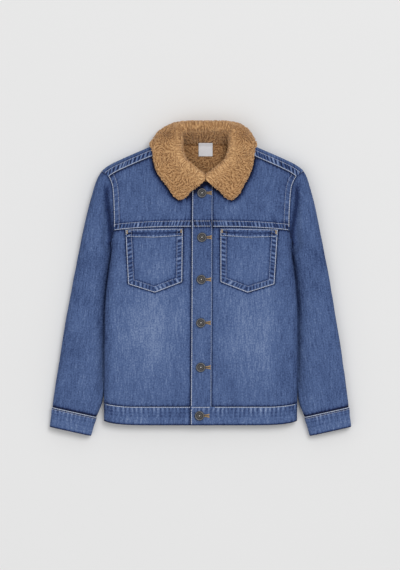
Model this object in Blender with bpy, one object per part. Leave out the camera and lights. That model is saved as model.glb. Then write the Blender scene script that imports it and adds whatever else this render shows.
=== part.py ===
"""A child's denim jacket with a sherpa collar, laid flat on its back with its front up.

Every piece that is cut and sewn is one closed wall of cloth. X runs across the jacket, +X to the
wearer's left, +Y runs to the collar and +Z up. The origin is under the middle of the jacket.
Lengths below are millimetres. A table is written for one half of the jacket: its x is the distance
out from the middle, and the other half mirrors it.
"""

import math

import bpy
import numpy as np

MM = 0.001

CLOTH = 1.6  # the denim with its backing
SEAM_GAP = 0.4  # between two pieces that are sewn together
SIDE_GAP = 0.8  # at a seam on a fold, whose two edges lean towards each other
UNDERARM_GAP = 1.9  # more than that at the underarm, where the sleeve turns under
UNDERARM_GAP_REACH = 30.0
LAYER_GAP = 0.3  # between a piece and the one that it lies on
PATCH_CLOTH = 1.6  # pockets and the front band
HEM_FOLD = 2.0  # the turned top of a pocket

SIDE_ROUND = 16.0  # how far in from the side edge the body's rounding reaches
SHOULDER_ROUND = 17.0  # from the shoulder fold to the forward shoulder seam
LEAN = ((-284.0, 0.0), (-130.0, 1.0), (50.0, 2.0), (160.0, 2.9), (215.0, 4.7), (290.0, 4.7))
NECK_SHIFT = 9.4  # the neck and the collar lie this far over, more than the shoulders do
NECK_SHIFT_X = (58.0, 104.0)  # all of that shift out to the first, and none of it past the second
NECK_SHIFT_Y = (164.0, 190.0)  # on the body it starts at the first

# The body: half its width at its side edge, and how thick it lies.
BODY_COLUMNS = ("y", "half_width", "thickness")
BODY_ROWS = (
    (-270.0, 173.7, 23.0),
    (-207.0, 174.2, 25.5),
    (-73.0, 173.6, 28.0),
    (-24.0, 171.0, 29.0),
    (10.0, 167.0, 29.5),
    (63.0, 161.0, 30.0),
    (105.0, 166.5, 30.0),
    (141.0, 170.5, 30.0),
    (161.0, 171.0, 30.0),
    (175.0, 176.0, 30.0),
    (185.0, 190.0, 30.0),
    (260.0, 320.0, 30.0),
)

# The fold along the shoulder, from the neck to its tip and a little down the sleeve.
SHOULDER_LINE = (
    (50.0, 257.5),
    (76.0, 245.8),
    (102.6, 233.8),
    (124.2, 224.5),
    (145.8, 214.9),
    (167.4, 204.2),
    (181.3, 193.5),
    (190.0, 178.5),
)
SHOULDER_TIP = (181.3, 193.5)
SHOULDER_NECK = (50.0, 240.5)  # where the forward shoulder seam ends at the neck
BELOW_SHOULDER_SEAM = (-0.41, -0.91)  # the way square to that seam, towards the front

# The armhole seam, from the shoulder tip to the underarm.
ARMHOLE_LINE = (
    SHOULDER_TIP,
    (168.6, 182.2),
    (161.0, 163.0),
    (158.9, 139.0),
    (157.6, 101.0),
    (157.8, 84.0),
    (161.0, 63.0),
)

CHEST_SEAM = 92.8  # at the middle; it drops towards the armhole
CHEST_DROP = 6.2
CHEST_END = 156.0
WAIST_SEAM = -230.4
WAIST_RISE = 6.0
WAIST_RISE_X = (120.0, 174.0)  # it rises between these
HEM_EDGE = -264.2
HEM_RISE = 7.5
HEM_END = 173.7
SIDE_FOLLOW = 100.0  # the waistband's columns past this follow the side edge

BAND_OUTER = 19.5  # the front band, from its stitched edge to its free edge
BAND_FREE = -17.5
UNDERLAP = -16.5  # the other front ends here, under the band
BAND_TOP = 173.4
BAND_STEP_WIDTH = 5.0  # the waistband comes down off the other one over this width

# The front neckline, from the shoulder seam to the middle of the front and past it.
NECKLINE = (
    SHOULDER_NECK,
    (48.0, 224.0),
    (41.0, 209.0),
    (26.0, 193.5),
    (12.0, 181.0),
    (0.0, 174.0),
    (-17.0, 172.0),
)
BACK_NECK = 246.6
BACK_NECK_END = 42.0

# The sleeve from armhole to cuff: its outer fold, its inner fold measured out from the body's side
# edge, its thickness, half the height of its inner fold, how far that fold's rounding reaches in,
# how fast the top rises from it, and the reach of the outer rounding.
SLEEVE_COLUMNS = (
    "station", "outer_x", "outer_y", "inner_out", "inner_y", "thickness",
    "fold_half", "fold_reach", "rise", "outer_reach",
)
SLEEVE_ROWS = (
    (0, 181.3, 193.5, 2.6, 61.8, 30.0, 15.0, 16.0, 10.0, 17.0),
    (1, 187.5, 183.0, 2.3, 59.0, 30.0, 12.0, 13.0, 10.0, 17.0),
    (2, 194.0, 166.0, 1.9, 54.5, 29.5, 9.0, 10.0, 11.0, 17.0),
    (3, 199.8, 144.7, 1.4, 49.0, 29.0, 6.5, 7.5, 12.0, 17.0),
    (4, 205.2, 123.1, 0.3, 42.0, 28.5, 4.6, 5.0, 13.0, 16.5),
    (5, 211.0, 97.0, -0.8, 32.0, 28.0, 3.6, 3.6, 14.0, 16.0),
    (6, 217.0, 68.5, -1.5, 18.0, 27.5, 3.5, 3.5, 15.0, 16.0),
    (7, 224.0, 34.0, -1.5, -3.0, 27.0, 3.5, 3.5, 15.0, 15.5),
    (8, 231.0, -4.0, -1.5, -28.0, 27.0, 3.5, 3.5, 15.0, 15.0),
    (9, 238.0, -44.0, -1.5, -60.0, 26.5, 3.5, 3.5, 15.0, 15.0),
    (10, 245.0, -84.0, -1.5, -97.0, 26.0, 3.5, 3.5, 15.0, 14.5),
    (11, 251.5, -125.0, -1.5, -138.0, 25.0, 3.5, 3.5, 14.0, 14.0),
    (12, 257.5, -165.6, -1.5, -180.0, 24.0, 4.0, 4.0, 13.0, 13.5),
    (13, 262.8, -201.0, 2.4, -219.0, 23.0, 8.0, 8.0, 11.0, 13.0),
    (14, 267.0, -231.3, 13.2, -249.0, 22.0, 11.0, 12.0, 10.0, 12.5),
)
CUFF_OUTER = (271.8, -267.2)  # its lower corners
CUFF_INNER = (196.9, -283.8)
CUFF_THICKNESS = 20.0
CUFF_LENGTH = 36.0  # from its seam to its opening

# The crease where the sleeve's head drops away beside the armhole.
CREASE_OFFSET = 11.0
CREASE_WIDTH = 8.0
CREASE_DEPTH = 9.0
CREASE_CLEAR = 7.0  # it stays this far above the sleeve's under side
CREASE_START = 20.0  # along the armhole from the shoulder tip
CREASE_FULL = 52.0

# The collar's under side from the middle of the back (0) to the front end (7): the neck seam, the
# fold and the leaf's edge.
COLLAR_COLUMNS = (
    "station", "neck_x", "neck_y", "neck_z", "fold_x", "fold_y", "fold_z",
    "edge_x", "edge_y", "edge_z",
)
COLLAR_ROWS = (
    (0, 0.0, 247.4, 1.2, 0.0, 272.6, 27.0, 0.0, 260.5, 9.6),
    (1, 26.0, 247.4, 1.4, 27.0, 272.6, 27.5, 30.0, 260.5, 9.6),
    (2, 44.0, 248.5, 3.0, 48.0, 267.0, 31.0, 60.0, 262.5, 9.6),
    (3, 48.9, 250.2, 16.0, 52.5, 255.0, 35.0, 80.0, 259.0, 11.0),
    (4, 48.8, 239.0, 31.0, 51.5, 236.0, 36.5, 93.0, 240.5, 21.0),
    (5, 42.3, 213.0, 31.0, 45.0, 213.0, 36.5, 88.5, 202.0, 31.2),
    (6, 22.8, 192.2, 31.0, 25.0, 192.5, 36.5, 70.5, 168.0, 31.2),
    (7, 0.6, 175.2, 31.0, 2.2, 177.0, 36.5, 46.5, 141.5, 31.2),
)
# How the leaf hangs from the fold: the way that it faces (degrees from +X), how far it swings out
# and falls there, and how it comes into its edge.
DRAPE_COLUMNS = ("station", "facing", "swing", "fall", "lay", "lift")
DRAPE_ROWS = (
    (0, 90.0, 4.0, 12.0, 15.0, 0.0),
    (1, 90.0, 4.0, 12.0, 15.0, 0.0),
    (2, 62.0, 8.0, 8.0, 10.0, 1.0),
    (3, 30.0, 14.0, 1.0, 3.0, 12.0),
    (4, 4.0, 18.0, -1.0, -2.0, 14.0),
    (5, -18.0, 14.0, 2.0, -16.0, 0.5),
    (6, -34.0, 14.0, 2.0, -16.0, 0.8),
    (7, -40.0, 14.0, 0.5, -16.0, 2.2),
)
FOLD_RADIUS = 2.0
PILE = 9.0  # the fleece with its backing
PILE_EDGE = 2.2  # what is left of it at the leaf's free edge
PILE_ROUND = 9.0  # how far in from that edge it is rounded

FRONT_NECK_TOP = 232.0  # the collar is in its front half below this
REST_GAP = 2.2  # under the collar's leaf on the rounded shoulder
LINING_HALF_WIDTH = 50.0
LINING_BOTTOM = 160.0
LINING_TOP = 240.1
LINING_PILE = 7.2
LABEL_SIZE = (25.0, 20.4)
LABEL_TOP = 239.8
LABEL_CLOTH = 1.0

# A patch pocket's corners.
POCKET_OUTER_TOP = (136.9, 88.0)
POCKET_INNER_TOP = (33.6, 89.6)
POCKET_OUTER_BOTTOM = (131.4, -10.4)
POCKET_INNER_BOTTOM = (34.3, -6.5)
POCKET_POINT = (83.5, -25.6)
POCKET_HEM = 16.4

BUTTON_PLACES = (
    (0.0, 153.3), (0.6, 73.7), (0.0, -2.1), (-0.4, -79.9), (-0.2, -159.8), (-1.8, -246.8),
)
BUTTON_COLUMNS = ("radius", "height")
BUTTON_PROFILE = (
    (0.0, 4.9), (1.8, 4.6), (2.4, 3.4), (5.6, 3.3), (7.2, 3.9), (8.6, 3.0), (8.2, 1.8),
    (3.2, 1.2), (3.0, 0.0), (0.0, 0.0),
)
BUTTON_SIDES = 16

SIDE_STEPS = 6  # columns in the body's rounding
SEAM_STEPS = 5  # columns along the rest of the shoulder seam
NECK_STEPS = 4  # columns along the front neckline
BACK_NECK_STEPS = 3  # columns along the back neckline
BODY_STEPS = 11  # rows from the waist seam to the underarm
LOWER_ARM_STEPS = 2  # rows from the underarm to the chest seam
YOKE_STEPS = 7
BAND_STEPS = 2
FOLD_STEPS = 4  # rows from the shoulder fold to the seam, and round the sleeve's outer fold
INNER_STEPS = 2  # points in the rounding of the sleeve's inner fold
SLEEVE_STEPS = 20
CUFF_STEPS = 3
BEND_END = 5.0  # the station by which the rings no longer bend towards the armhole
HEIGHT_END = 1.6  # and by which they have left the armhole's height
COLLAR_STEPS = 44
LEAF_STEPS = 9
STAND_STEPS = 4
TURN_STEPS = 4
POCKET_COLUMNS = 8
PLACKET_STEPS = 20

DENIM = ((0.31, 0.39, 0.56), 0.85, 0.0)
DENIM_FADED = ((0.36, 0.44, 0.60), 0.85, 0.0)
FLEECE = ((0.62, 0.47, 0.32), 0.95, 0.0)
LABEL_WHITE = ((0.80, 0.79, 0.80), 0.8, 0.0)
BUTTON_METAL = ((0.30, 0.28, 0.26), 0.45, 1.0)


def slopes(keys, values):
    """The slope at each key of a smooth curve that never overshoots its points."""
    steps = np.diff(keys)
    rises = np.diff(values) / steps
    result = np.concatenate([[rises[0]], np.zeros(len(keys) - 2), [rises[-1]]])
    same_way = rises[:-1] * rises[1:] > 0
    before = 2 * steps[1:] + steps[:-1]
    after = steps[1:] + 2 * steps[:-1]
    safe = np.where(same_way, rises[:-1] * rises[1:], 1.0)
    mean = (before + after) * safe / (before * rises[1:] + after * rises[:-1] + (~same_way))
    result[1:-1] = np.where(same_way, mean, 0.0)
    return result


def read_between(keys, values, at):
    """The smooth curve through (key, value) points, read at any place."""
    keys = np.asarray(keys, float)
    values = np.asarray(values, float)
    at = np.clip(np.asarray(at, float), keys[0], keys[-1])
    slope = slopes(keys, values)
    index = np.clip(np.searchsorted(keys, at, side="right") - 1, 0, len(keys) - 2)
    step = keys[index + 1] - keys[index]
    t = (at - keys[index]) / step
    start = (1 + 2 * t) * (1 - t) ** 2 * values[index] + t * (1 - t) ** 2 * step * slope[index]
    end = t**2 * (3 - 2 * t) * values[index + 1] + t**2 * (t - 1) * step * slope[index + 1]
    return start + end


class Table:
    """Rows with named columns, read smoothly between the rows. The first column is the key."""

    def __init__(self, columns, rows):
        values = np.array(rows, float)
        self.key = values[:, 0]
        self.values = dict(zip(columns, values.T))

    def read(self, column, at):
        return read_between(self.key, self.values[column], at)

    def point(self, prefix, at):
        return np.stack([self.read(prefix + axis, at) for axis in ("_x", "_y", "_z")], axis=-1)


class Path:
    """A smooth plan curve through a few points, read by its length from the first one."""

    def __init__(self, points):
        points = np.array(points, float)
        chord = np.concatenate([[0], np.cumsum(np.hypot(*np.diff(points, axis=0).T))])
        fine = np.linspace(0, chord[-1], 240)
        self.points = np.stack([read_between(chord, points[:, i], fine) for i in (0, 1)], axis=-1)
        self.length_to = np.concatenate([[0], np.cumsum(np.hypot(*np.diff(self.points, axis=0).T))])
        self.length = self.length_to[-1]

    def at(self, lengths):
        return np.stack([np.interp(lengths, self.length_to, self.points[:, i]) for i in (0, 1)], -1)

    def normal(self, lengths):
        """The unit normal on the left of the path."""
        ahead = self.at(np.asarray(lengths) + 0.5) - self.at(np.asarray(lengths) - 0.5)
        ahead /= np.linalg.norm(ahead, axis=-1, keepdims=True)
        return np.stack([-ahead[..., 1], ahead[..., 0]], axis=-1)

    def distance(self, plan):
        """How far each plan point lies from the path."""
        flat = plan.reshape(-1, 1, 2)
        start = self.points[None, :-1]
        along = self.points[None, 1:] - start
        t = np.clip(((flat - start) * along).sum(-1) / (along**2).sum(-1), 0, 1)
        gap = flat - start - along * t[..., None]
        return np.sqrt((gap**2).sum(-1).min(axis=1)).reshape(plan.shape[:-1])

    def length_where(self, column, value):
        """The first length at which the path's x (0) or y (1) comes down past a value."""
        return self.length_to[np.argmax(self.points[:, column] <= value)]


BODY = Table(BODY_COLUMNS, BODY_ROWS)
SLEEVE = Table(SLEEVE_COLUMNS, SLEEVE_ROWS)
COLLAR = Table(COLLAR_COLUMNS, COLLAR_ROWS)
DRAPE = Table(DRAPE_COLUMNS, DRAPE_ROWS)
SHOULDER = Path(SHOULDER_LINE)
ARMHOLE = Path(ARMHOLE_LINE)
TIP_LENGTH = SHOULDER.length_where(1, SHOULDER_TIP[1])


def ease(value, start, end):
    """0 up to start and 1 from end on, smoothly."""
    share = np.clip((value - start) / (end - start), 0, 1)
    return share * share * (3 - 2 * share)


def rounded(distance, reach):
    """0 at an edge and 1 from reach inwards, along a quarter of an ellipse."""
    share = 1 - np.clip(distance / reach, 0, 1)
    return np.sqrt(np.clip(1 - share**2, 0, 1))


def turn_spacing(steps):
    """Shares of a rounding's reach that sit evenly round its quarter turn."""
    return 1 - np.cos(np.linspace(0, math.pi / 2, steps + 1))


def chest_seam(x):
    return CHEST_SEAM - CHEST_DROP * (np.abs(x) / CHEST_END) ** 3


def waist_seam(x):
    start, end = WAIST_RISE_X
    return WAIST_SEAM + WAIST_RISE * np.clip((np.abs(x) - start) / (end - start), 0, 1) ** 2


def hem_edge(x):
    return HEM_EDGE + HEM_RISE * (np.abs(x) / HEM_END) ** 8


def body_fullness(plan):
    """How much of its thickness the body has at each plan point: 0 on its side and shoulder folds."""
    side = rounded(BODY.read("half_width", plan[..., 1]) - np.abs(plan[..., 0]), SIDE_ROUND)
    return side * rounded(SHOULDER.distance(plan), SHOULDER_ROUND)


def body_surface(plan, side):
    """The plan points raised to the body's front (side 1) or back (side -1)."""
    middle = BODY.read("thickness", plan[..., 1]) / 2
    height = middle * (1 + side * body_fullness(plan))
    return np.concatenate([plan, height[..., None]], axis=-1)


def patch(inner, outer, bottom, top):
    """A grid of plan points between four edges: rows run up, columns run out."""
    across = np.concatenate([[0], np.cumsum(np.hypot(*np.diff(bottom, axis=0).T))])
    u = (across / across[-1])[None, :, None]
    up = np.concatenate([[0], np.cumsum(np.hypot(*np.diff(outer, axis=0).T))])
    v = (up / up[-1])[:, None, None]
    ruled = (1 - v) * bottom[None] + v * top[None] + (1 - u) * inner[:, None] + u * outer[:, None]
    corners = (1 - v) * ((1 - u) * bottom[0] + u * bottom[-1]) + v * ((1 - u) * top[0] + u * top[-1])
    return ruled - corners


def columns_between(inner_x, outer_x, flat_steps):
    """x values from the middle out, close together in the rounding at the side."""
    rounding = outer_x - SIDE_ROUND * turn_spacing(SIDE_STEPS)[::-1]
    flat = np.linspace(inner_x, rounding[0], flat_steps + 1)
    return np.concatenate([flat[:-1], rounding])


def armhole_lengths():
    """Where the armhole is sampled: the shoulder's rounding, the yoke, then the lower front."""
    corner = ARMHOLE.length_where(1, chest_seam(CHEST_END))
    fold = SHOULDER_ROUND * turn_spacing(FOLD_STEPS)
    yoke = np.linspace(SHOULDER_ROUND, corner, YOKE_STEPS + 1)
    lower = np.linspace(corner, ARMHOLE.length, LOWER_ARM_STEPS + 1)
    return fold, yoke, lower


def side_points():
    """The side edge from the waist seam to the underarm."""
    y = np.linspace(float(waist_seam(WAIST_RISE_X[1])), ARMHOLE_LINE[-1][1], BODY_STEPS + 1)
    return np.stack([BODY.read("half_width", y), y], axis=-1)


def shoulder_strip():
    """The half of the back that turns over the shoulder fold: rows go from under it to the seam."""
    near_tip = TIP_LENGTH - SIDE_ROUND * turn_spacing(SIDE_STEPS)[::-1]
    along = np.concatenate([np.linspace(0, near_tip[0], SEAM_STEPS + 1)[:-1], near_tip])
    fold = SHOULDER.at(along)[None]
    inward = -SHOULDER.normal(along)[None]
    turn = np.linspace(-math.pi / 2, math.pi / 2, 2 * FOLD_STEPS + 1)
    reach = SHOULDER_ROUND * (1 - np.cos(turn))
    plan = fold + inward * reach[:, None, None]
    share = (along / TIP_LENGTH)[None, :, None]
    neck_edge = np.array(SHOULDER_NECK) - SHOULDER_LINE[0]
    neck = np.array(SHOULDER_LINE[0]) + neck_edge * (reach / SHOULDER_ROUND)[:, None]
    plan = plan + (neck - plan[:, 0])[:, None] * (1 - share) ** 6
    plan = plan + (ARMHOLE.at(reach) - plan[:, -1])[:, None] * share**6
    middle = BODY.read("thickness", plan[..., 1]) / 2
    height = middle * (1 + np.sin(turn))[:, None]
    return np.concatenate([plan, height[..., None]], axis=-1)


def back_half():
    """The flat of the back, from the waist seam to the neck and the shoulder strip."""
    _, yoke, lower = armhole_lengths()
    armhole = ARMHOLE.at(np.concatenate([yoke, lower[1:]]))[::-1]
    outer = np.concatenate([side_points(), armhole[1:]])
    neck = np.linspace((0.0, BACK_NECK), (BACK_NECK_END, BACK_NECK), BACK_NECK_STEPS)
    top = np.concatenate([neck, shoulder_strip()[0, :, :2]])
    columns = columns_between(0.0, outer[0, 0], SEAM_STEPS + BACK_NECK_STEPS)
    bottom = np.stack([columns, waist_seam(columns)], axis=-1)
    inner = np.linspace(bottom[0], top[0], len(outer))
    return body_surface(patch(inner, outer, bottom, top), -1)


def front_columns(inner_x, outer_x):
    return columns_between(inner_x, outer_x, SEAM_STEPS + NECK_STEPS)


def chest_edge(inner_x, offset):
    """The chest seam's points from the middle to the armhole, moved up by an offset."""
    _, yoke, _ = armhole_lengths()
    end = ARMHOLE.at(yoke[-1])
    columns = front_columns(inner_x, end[0])
    return np.stack([columns, chest_seam(columns) + end[1] - chest_seam(end[0]) + offset], axis=-1)


def front_yoke(inner_x):
    """The front above the chest seam, up to the shoulder seam and the neckline."""
    _, yoke, _ = armhole_lengths()
    half_gap = SEAM_GAP / 2
    outer = ARMHOLE.at(yoke)[::-1]
    bottom = chest_edge(inner_x, half_gap)
    outer[0] = bottom[-1]
    neckline = Path(NECKLINE)
    end = neckline.length_where(0, inner_x) if inner_x > NECKLINE[-1][0] else neckline.length
    neck = neckline.at(np.linspace(end, 0, NECK_STEPS + 1))
    neck[0, 0] = inner_x
    seam = shoulder_strip()[-1, :, :2]
    below = np.array(BELOW_SHOULDER_SEAM) * SEAM_GAP
    top = np.concatenate([neck[:-1], seam + below])
    inner = np.linspace(bottom[0], top[0], len(outer))
    outer[-1] = top[-1]
    return body_surface(patch(inner, outer, bottom, top), 1)


def front_lower(inner_x):
    """The front between the waist seam and the chest seam."""
    _, _, lower = armhole_lengths()
    top = chest_edge(inner_x, -SEAM_GAP / 2)
    outer = np.concatenate([side_points(), ARMHOLE.at(lower)[::-1][1:]])
    outer[-1] = top[-1]
    columns = front_columns(inner_x, outer[0, 0])
    bottom = np.stack([columns, waist_seam(columns)], axis=-1)
    inner = np.linspace(bottom[0], top[0], len(outer))
    return body_surface(patch(inner, outer, bottom, top), 1)


def waistband(inner_x, side):
    """The band below the waist seam, on the front (side 1) or the back (side -1). Where it laps
    over the front band's end, it has columns on both edges of the step down."""
    flat_steps = SEAM_STEPS + (NECK_STEPS if side > 0 else BACK_NECK_STEPS)
    outer_x = float(BODY.read("half_width", -240.0))
    if inner_x == BAND_FREE:
        rest = columns_between(BAND_OUTER + BAND_STEP_WIDTH, outer_x, flat_steps - 2)
        columns = np.concatenate([[inner_x, BAND_OUTER], rest])
    else:
        columns = columns_between(inner_x, outer_x, flat_steps)
    top = np.stack([columns, waist_seam(columns) - SEAM_GAP], axis=-1)
    bottom = np.stack([columns, hem_edge(columns)], axis=-1)
    rows = np.linspace(0, 1, BAND_STEPS + 1)[:, None, None]
    plan = bottom + (top - bottom) * rows
    plan[..., 0] *= (BODY.read("half_width", plan[..., 1]) / columns[-1]) ** (columns > SIDE_FOLLOW)
    return body_surface(plan, side)


def apart(points):
    """Lifts a front's outer edge clear of the back's."""
    moved = points.copy()
    moved[:, -1, 2] += SIDE_GAP
    return moved


def sleeve_rings():
    """Rings of a half-jacket's sleeve, from the armhole down to the cuff seam. Each goes from the
    inner fold under the sleeve to its outer fold and back over the top."""
    fold, yoke, lower = armhole_lengths()
    arm = np.concatenate([fold, yoke[1:], lower[1:]])
    station = 14 * np.linspace(0, 1, SLEEVE_STEPS + 1) ** 1.12
    row = {name: SLEEVE.read(name, station)[:, None] for name in SLEEVE_COLUMNS[1:]}
    inner_x = BODY.read("half_width", row["inner_y"]) + row["inner_out"]
    outer = np.stack([row["outer_x"], row["outer_y"]], axis=-1)
    inner = np.stack([inner_x, row["inner_y"]], axis=-1)
    return ring_surface(row, outer, inner, arm, station)


def ring_surface(row, outer, inner, arm, station):
    """Points of the sleeve's rings. A ring is a chord from its outer to its inner fold, which the
    first few rings bend towards the armhole seam."""
    width = np.linalg.norm(inner - outer, axis=-1)
    reach = row["outer_reach"]
    rounding = reach * turn_spacing(FOLD_STEPS)[None]
    inner_turn = row["fold_reach"] * turn_spacing(INNER_STEPS)[None, ::-1]
    middle_steps = len(arm) - FOLD_STEPS - INNER_STEPS
    share = np.linspace(0, 1, middle_steps)[None, 1:]
    flat = reach + (width - row["fold_reach"] - reach) * share
    across = np.concatenate([rounding, flat, width - inner_turn[:, 1:]], axis=1)
    chord = outer + (inner - outer) * (across / width)[..., None]
    gap = SIDE_GAP + UNDERARM_GAP * ease(arm, ARMHOLE.length - UNDERARM_GAP_REACH, ARMHOLE.length)
    seam = ARMHOLE.at(arm) + gap[:, None] * ARMHOLE.normal(arm)
    bend = np.clip(1 - station / BEND_END, 0, 1)[:, None, None] ** 2
    plan = chord + (seam - chord[0]) * bend
    near = 1 - ease(station, 0, HEIGHT_END)[:, None]
    at_seam = body_surface(ARMHOLE.at(arm), 1)[..., 2]
    full = rounded(across, reach)
    thickness = row["thickness"]
    from_inner = width - across
    turned = rounded(from_inner, row["fold_reach"])
    climb = 1 - np.exp(-np.clip(from_inner - row["fold_reach"], 0, None) / row["rise"])
    over = row["fold_half"] * (1 + turned) + (thickness - 2 * row["fold_half"]) * climb
    top = thickness / 2 + (over - thickness / 2) * full
    under = thickness / 2 * (1 - full) + row["fold_half"] * (1 - turned) * full
    from_seam = ARMHOLE.distance(plan)
    crease = CREASE_DEPTH * np.exp(-(((from_seam - CREASE_OFFSET) / CREASE_WIDTH) ** 2))
    crease *= np.clip((arm - CREASE_START) / (CREASE_FULL - CREASE_START), 0, 1)
    crease *= np.clip((top - under - CREASE_CLEAR) / CREASE_DEPTH, 0, 1)
    top = near * at_seam + (1 - near) * (top - crease)
    under_seam = BODY.read("thickness", ARMHOLE.at(arm)[:, 1]) - at_seam
    under = near * under_seam + (1 - near) * under
    upper = np.concatenate([plan, top[..., None]], axis=-1)
    lower = np.concatenate([plan, under[..., None]], axis=-1)
    return np.concatenate([lower[:, ::-1], upper[:, 1:-1]], axis=1)


def cuff_rings():
    """The cuff's rings, from the sleeve's end down."""
    end = SLEEVE_ROWS[-1]
    seam_outer = np.array(end[1:3])
    seam_inner = np.array([BODY.read("half_width", end[4]) + end[3], end[4]])
    share = np.linspace(SEAM_GAP / CUFF_LENGTH, 1, CUFF_STEPS + 1)[:, None, None]
    outer = seam_outer + (np.array(CUFF_OUTER) - seam_outer) * share
    inner = seam_inner + (np.array(CUFF_INNER) - seam_inner) * share
    thickness = end[5] + (CUFF_THICKNESS - end[5]) * share[..., 0]
    fixed = dict(zip(SLEEVE_COLUMNS[5:], end[5:]))
    row = {name: np.full_like(thickness, value) for name, value in fixed.items()}
    row["thickness"] = thickness
    row["fold_half"] = thickness / 2
    fold, yoke, lower = armhole_lengths()
    arm = np.concatenate([fold, yoke[1:], lower[1:]])
    return ring_surface(row, outer, inner, arm, np.full(CUFF_STEPS + 1, 99.0))


def collar_under_side():
    """The collar's under side: a row for each section, from the wearer's right to the left."""
    last = COLLAR_ROWS[-1][0]
    signed = np.linspace(-last, last, COLLAR_STEPS + 1)
    station = np.abs(signed)
    mirror = np.stack([np.sign(signed), np.ones_like(signed), np.ones_like(signed)], axis=-1)
    neck = COLLAR.point("neck", station)
    fold = COLLAR.point("fold", station)
    edge = COLLAR.point("edge", station)
    facing = np.radians(DRAPE.read("facing", station))
    out = np.stack([np.cos(facing), np.sin(facing), np.zeros_like(facing)], axis=-1)
    up = np.array([0.0, 0.0, 1.0])
    swing, fall, lay, lift = (DRAPE.read(name, station)[:, None] for name in DRAPE_COLUMNS[2:])
    first = fold + swing * out - fall * up
    second = edge + lay * out + lift * up
    stand_share = np.linspace(0, 1, STAND_STEPS + 1)[:-1, None, None]
    stand = neck + (fold - FOLD_RADIUS * out - neck) * stand_share
    turn = np.linspace(math.pi, 0.35 * math.pi, TURN_STEPS + 1)[:, None, None]
    arc = fold + FOLD_RADIUS * (np.cos(turn) * out + np.sin(turn) * up)
    t = np.linspace(0, 1, LEAF_STEPS + 1)[1:, None, None]
    start = arc[-1]
    leaf = (1 - t) ** 3 * start + 3 * (1 - t) ** 2 * t * first + 3 * (1 - t) * t**2 * second
    leaf = leaf + t**3 * edge
    section = np.concatenate([stand, arc, leaf]).transpose(1, 0, 2)
    return section * np.where(mirror == 0, 1, mirror)[:, None]


def pile_thickness(under):
    """The fleece's thickness over the collar's under side, rounded away at the leaf's free edges."""
    steps = np.linalg.norm(np.diff(under, axis=1), axis=-1)[:, ::-1]
    to_edge = np.concatenate([np.zeros((len(under), 1)), np.cumsum(steps, axis=1)], axis=1)[:, ::-1]
    to_ends = [np.linalg.norm(under - end[None], axis=-1) for end in (under[0], under[-1])]
    leaf_share = np.clip(np.arange(under.shape[1]) - STAND_STEPS - TURN_STEPS, 0, 3) / 3
    to_end = PILE_ROUND + (np.minimum(*to_ends) - PILE_ROUND) * leaf_share
    nearest = np.minimum(to_edge, to_end)
    return PILE_EDGE + (PILE - PILE_EDGE) * rounded(nearest, PILE_ROUND)


def pocket_points(low_share, high_share, steps):
    """A pocket's plan between two shares of the way up from its lower edge to its top."""
    across = np.linspace(0, 1, POCKET_COLUMNS + 1)
    low = np.linspace(POCKET_INNER_BOTTOM, POCKET_OUTER_BOTTOM, POCKET_COLUMNS + 1)
    low[:, 1] = np.interp(
        across, (0, 0.5, 1), (POCKET_INNER_BOTTOM[1], POCKET_POINT[1], POCKET_OUTER_BOTTOM[1])
    )
    top = np.linspace(POCKET_INNER_TOP, POCKET_OUTER_TOP, POCKET_COLUMNS + 1)
    rows = np.linspace(low_share, high_share, steps + 1)[:, None, None]
    return low + (top - low) * rows


def mirrored(points, side):
    """The grid itself (side 1) or its mirror image (side -1), with its faces the same way out."""
    return points if side > 0 else (points * np.array([-1.0, 1.0, 1.0]))[:, ::-1]


def leaned(points, collar=False):
    """The points moved sideways by how the jacket lies: its upper part leans to the wearer's left,
    and its neck and collar lean further."""
    keys, shifts = np.array(LEAN).T
    shift = read_between(keys, shifts, points[..., 1])
    near_neck = 1 - ease(np.abs(points[..., 0]), *NECK_SHIFT_X)
    if not collar:
        near_neck = near_neck * ease(points[..., 1], *NECK_SHIFT_Y)
    moved = points.copy()
    moved[..., 0] += shift + (NECK_SHIFT - shift) * near_neck
    return moved


def finish_material(name, look):
    colour, roughness, metallic = look
    material = bpy.data.materials.new(name)
    material.use_nodes = True
    shader = material.node_tree.nodes["Principled BSDF"]
    linear = [channel**2.2 for channel in colour]
    shader.inputs["Base Color"].default_value = (*linear, 1.0)
    shader.inputs["Roughness"].default_value = roughness
    shader.inputs["Metallic"].default_value = metallic
    material.diffuse_color = (*linear, 1.0)
    return material


def add_mesh(name, vertices, faces, look):
    """Adds an object, with its faces turned outwards."""
    corners = np.array([(f[0], f[i], f[i + 1]) for f in faces for i in range(1, len(f) - 1)])
    a, b, c = (vertices[corners[:, i]] for i in range(3))
    if np.einsum("ij,ij->i", a, np.cross(b, c)).sum() < 0:
        faces = [tuple(reversed(face)) for face in faces]
    mesh = bpy.data.meshes.new(name)
    mesh.from_pydata((vertices * MM).tolist(), [], [tuple(map(int, face)) for face in faces])
    mesh.validate()
    mesh.materials.append(finish_material(name, look))
    mesh.shade_smooth()
    mesh.set_sharp_from_angle(angle=math.radians(40))
    piece = bpy.data.objects.new(name, mesh)
    bpy.context.scene.collection.objects.link(piece)
    return piece


def welded(grids, closed):
    """The grids' points with shared ones merged, and their quads as indices. A closed grid's columns
    join up round the ring."""
    points = np.concatenate([grid.reshape(-1, 3) for grid in grids])
    _, first, index = np.unique(np.round(points, 3), axis=0, return_index=True, return_inverse=True)
    index = index.reshape(-1)
    faces = []
    start = 0
    for grid in grids:
        rows, columns = grid.shape[:2]
        place = index[start : start + rows * columns].reshape(rows, columns)
        start += rows * columns
        if closed:
            place = np.concatenate([place, place[:, :1]], axis=1)
        quads = np.stack([place[:-1, :-1], place[:-1, 1:], place[1:, 1:], place[1:, :-1]], axis=-1)
        faces.append(quads.reshape(-1, 4))
    return points[first], np.concatenate(faces), first


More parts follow.
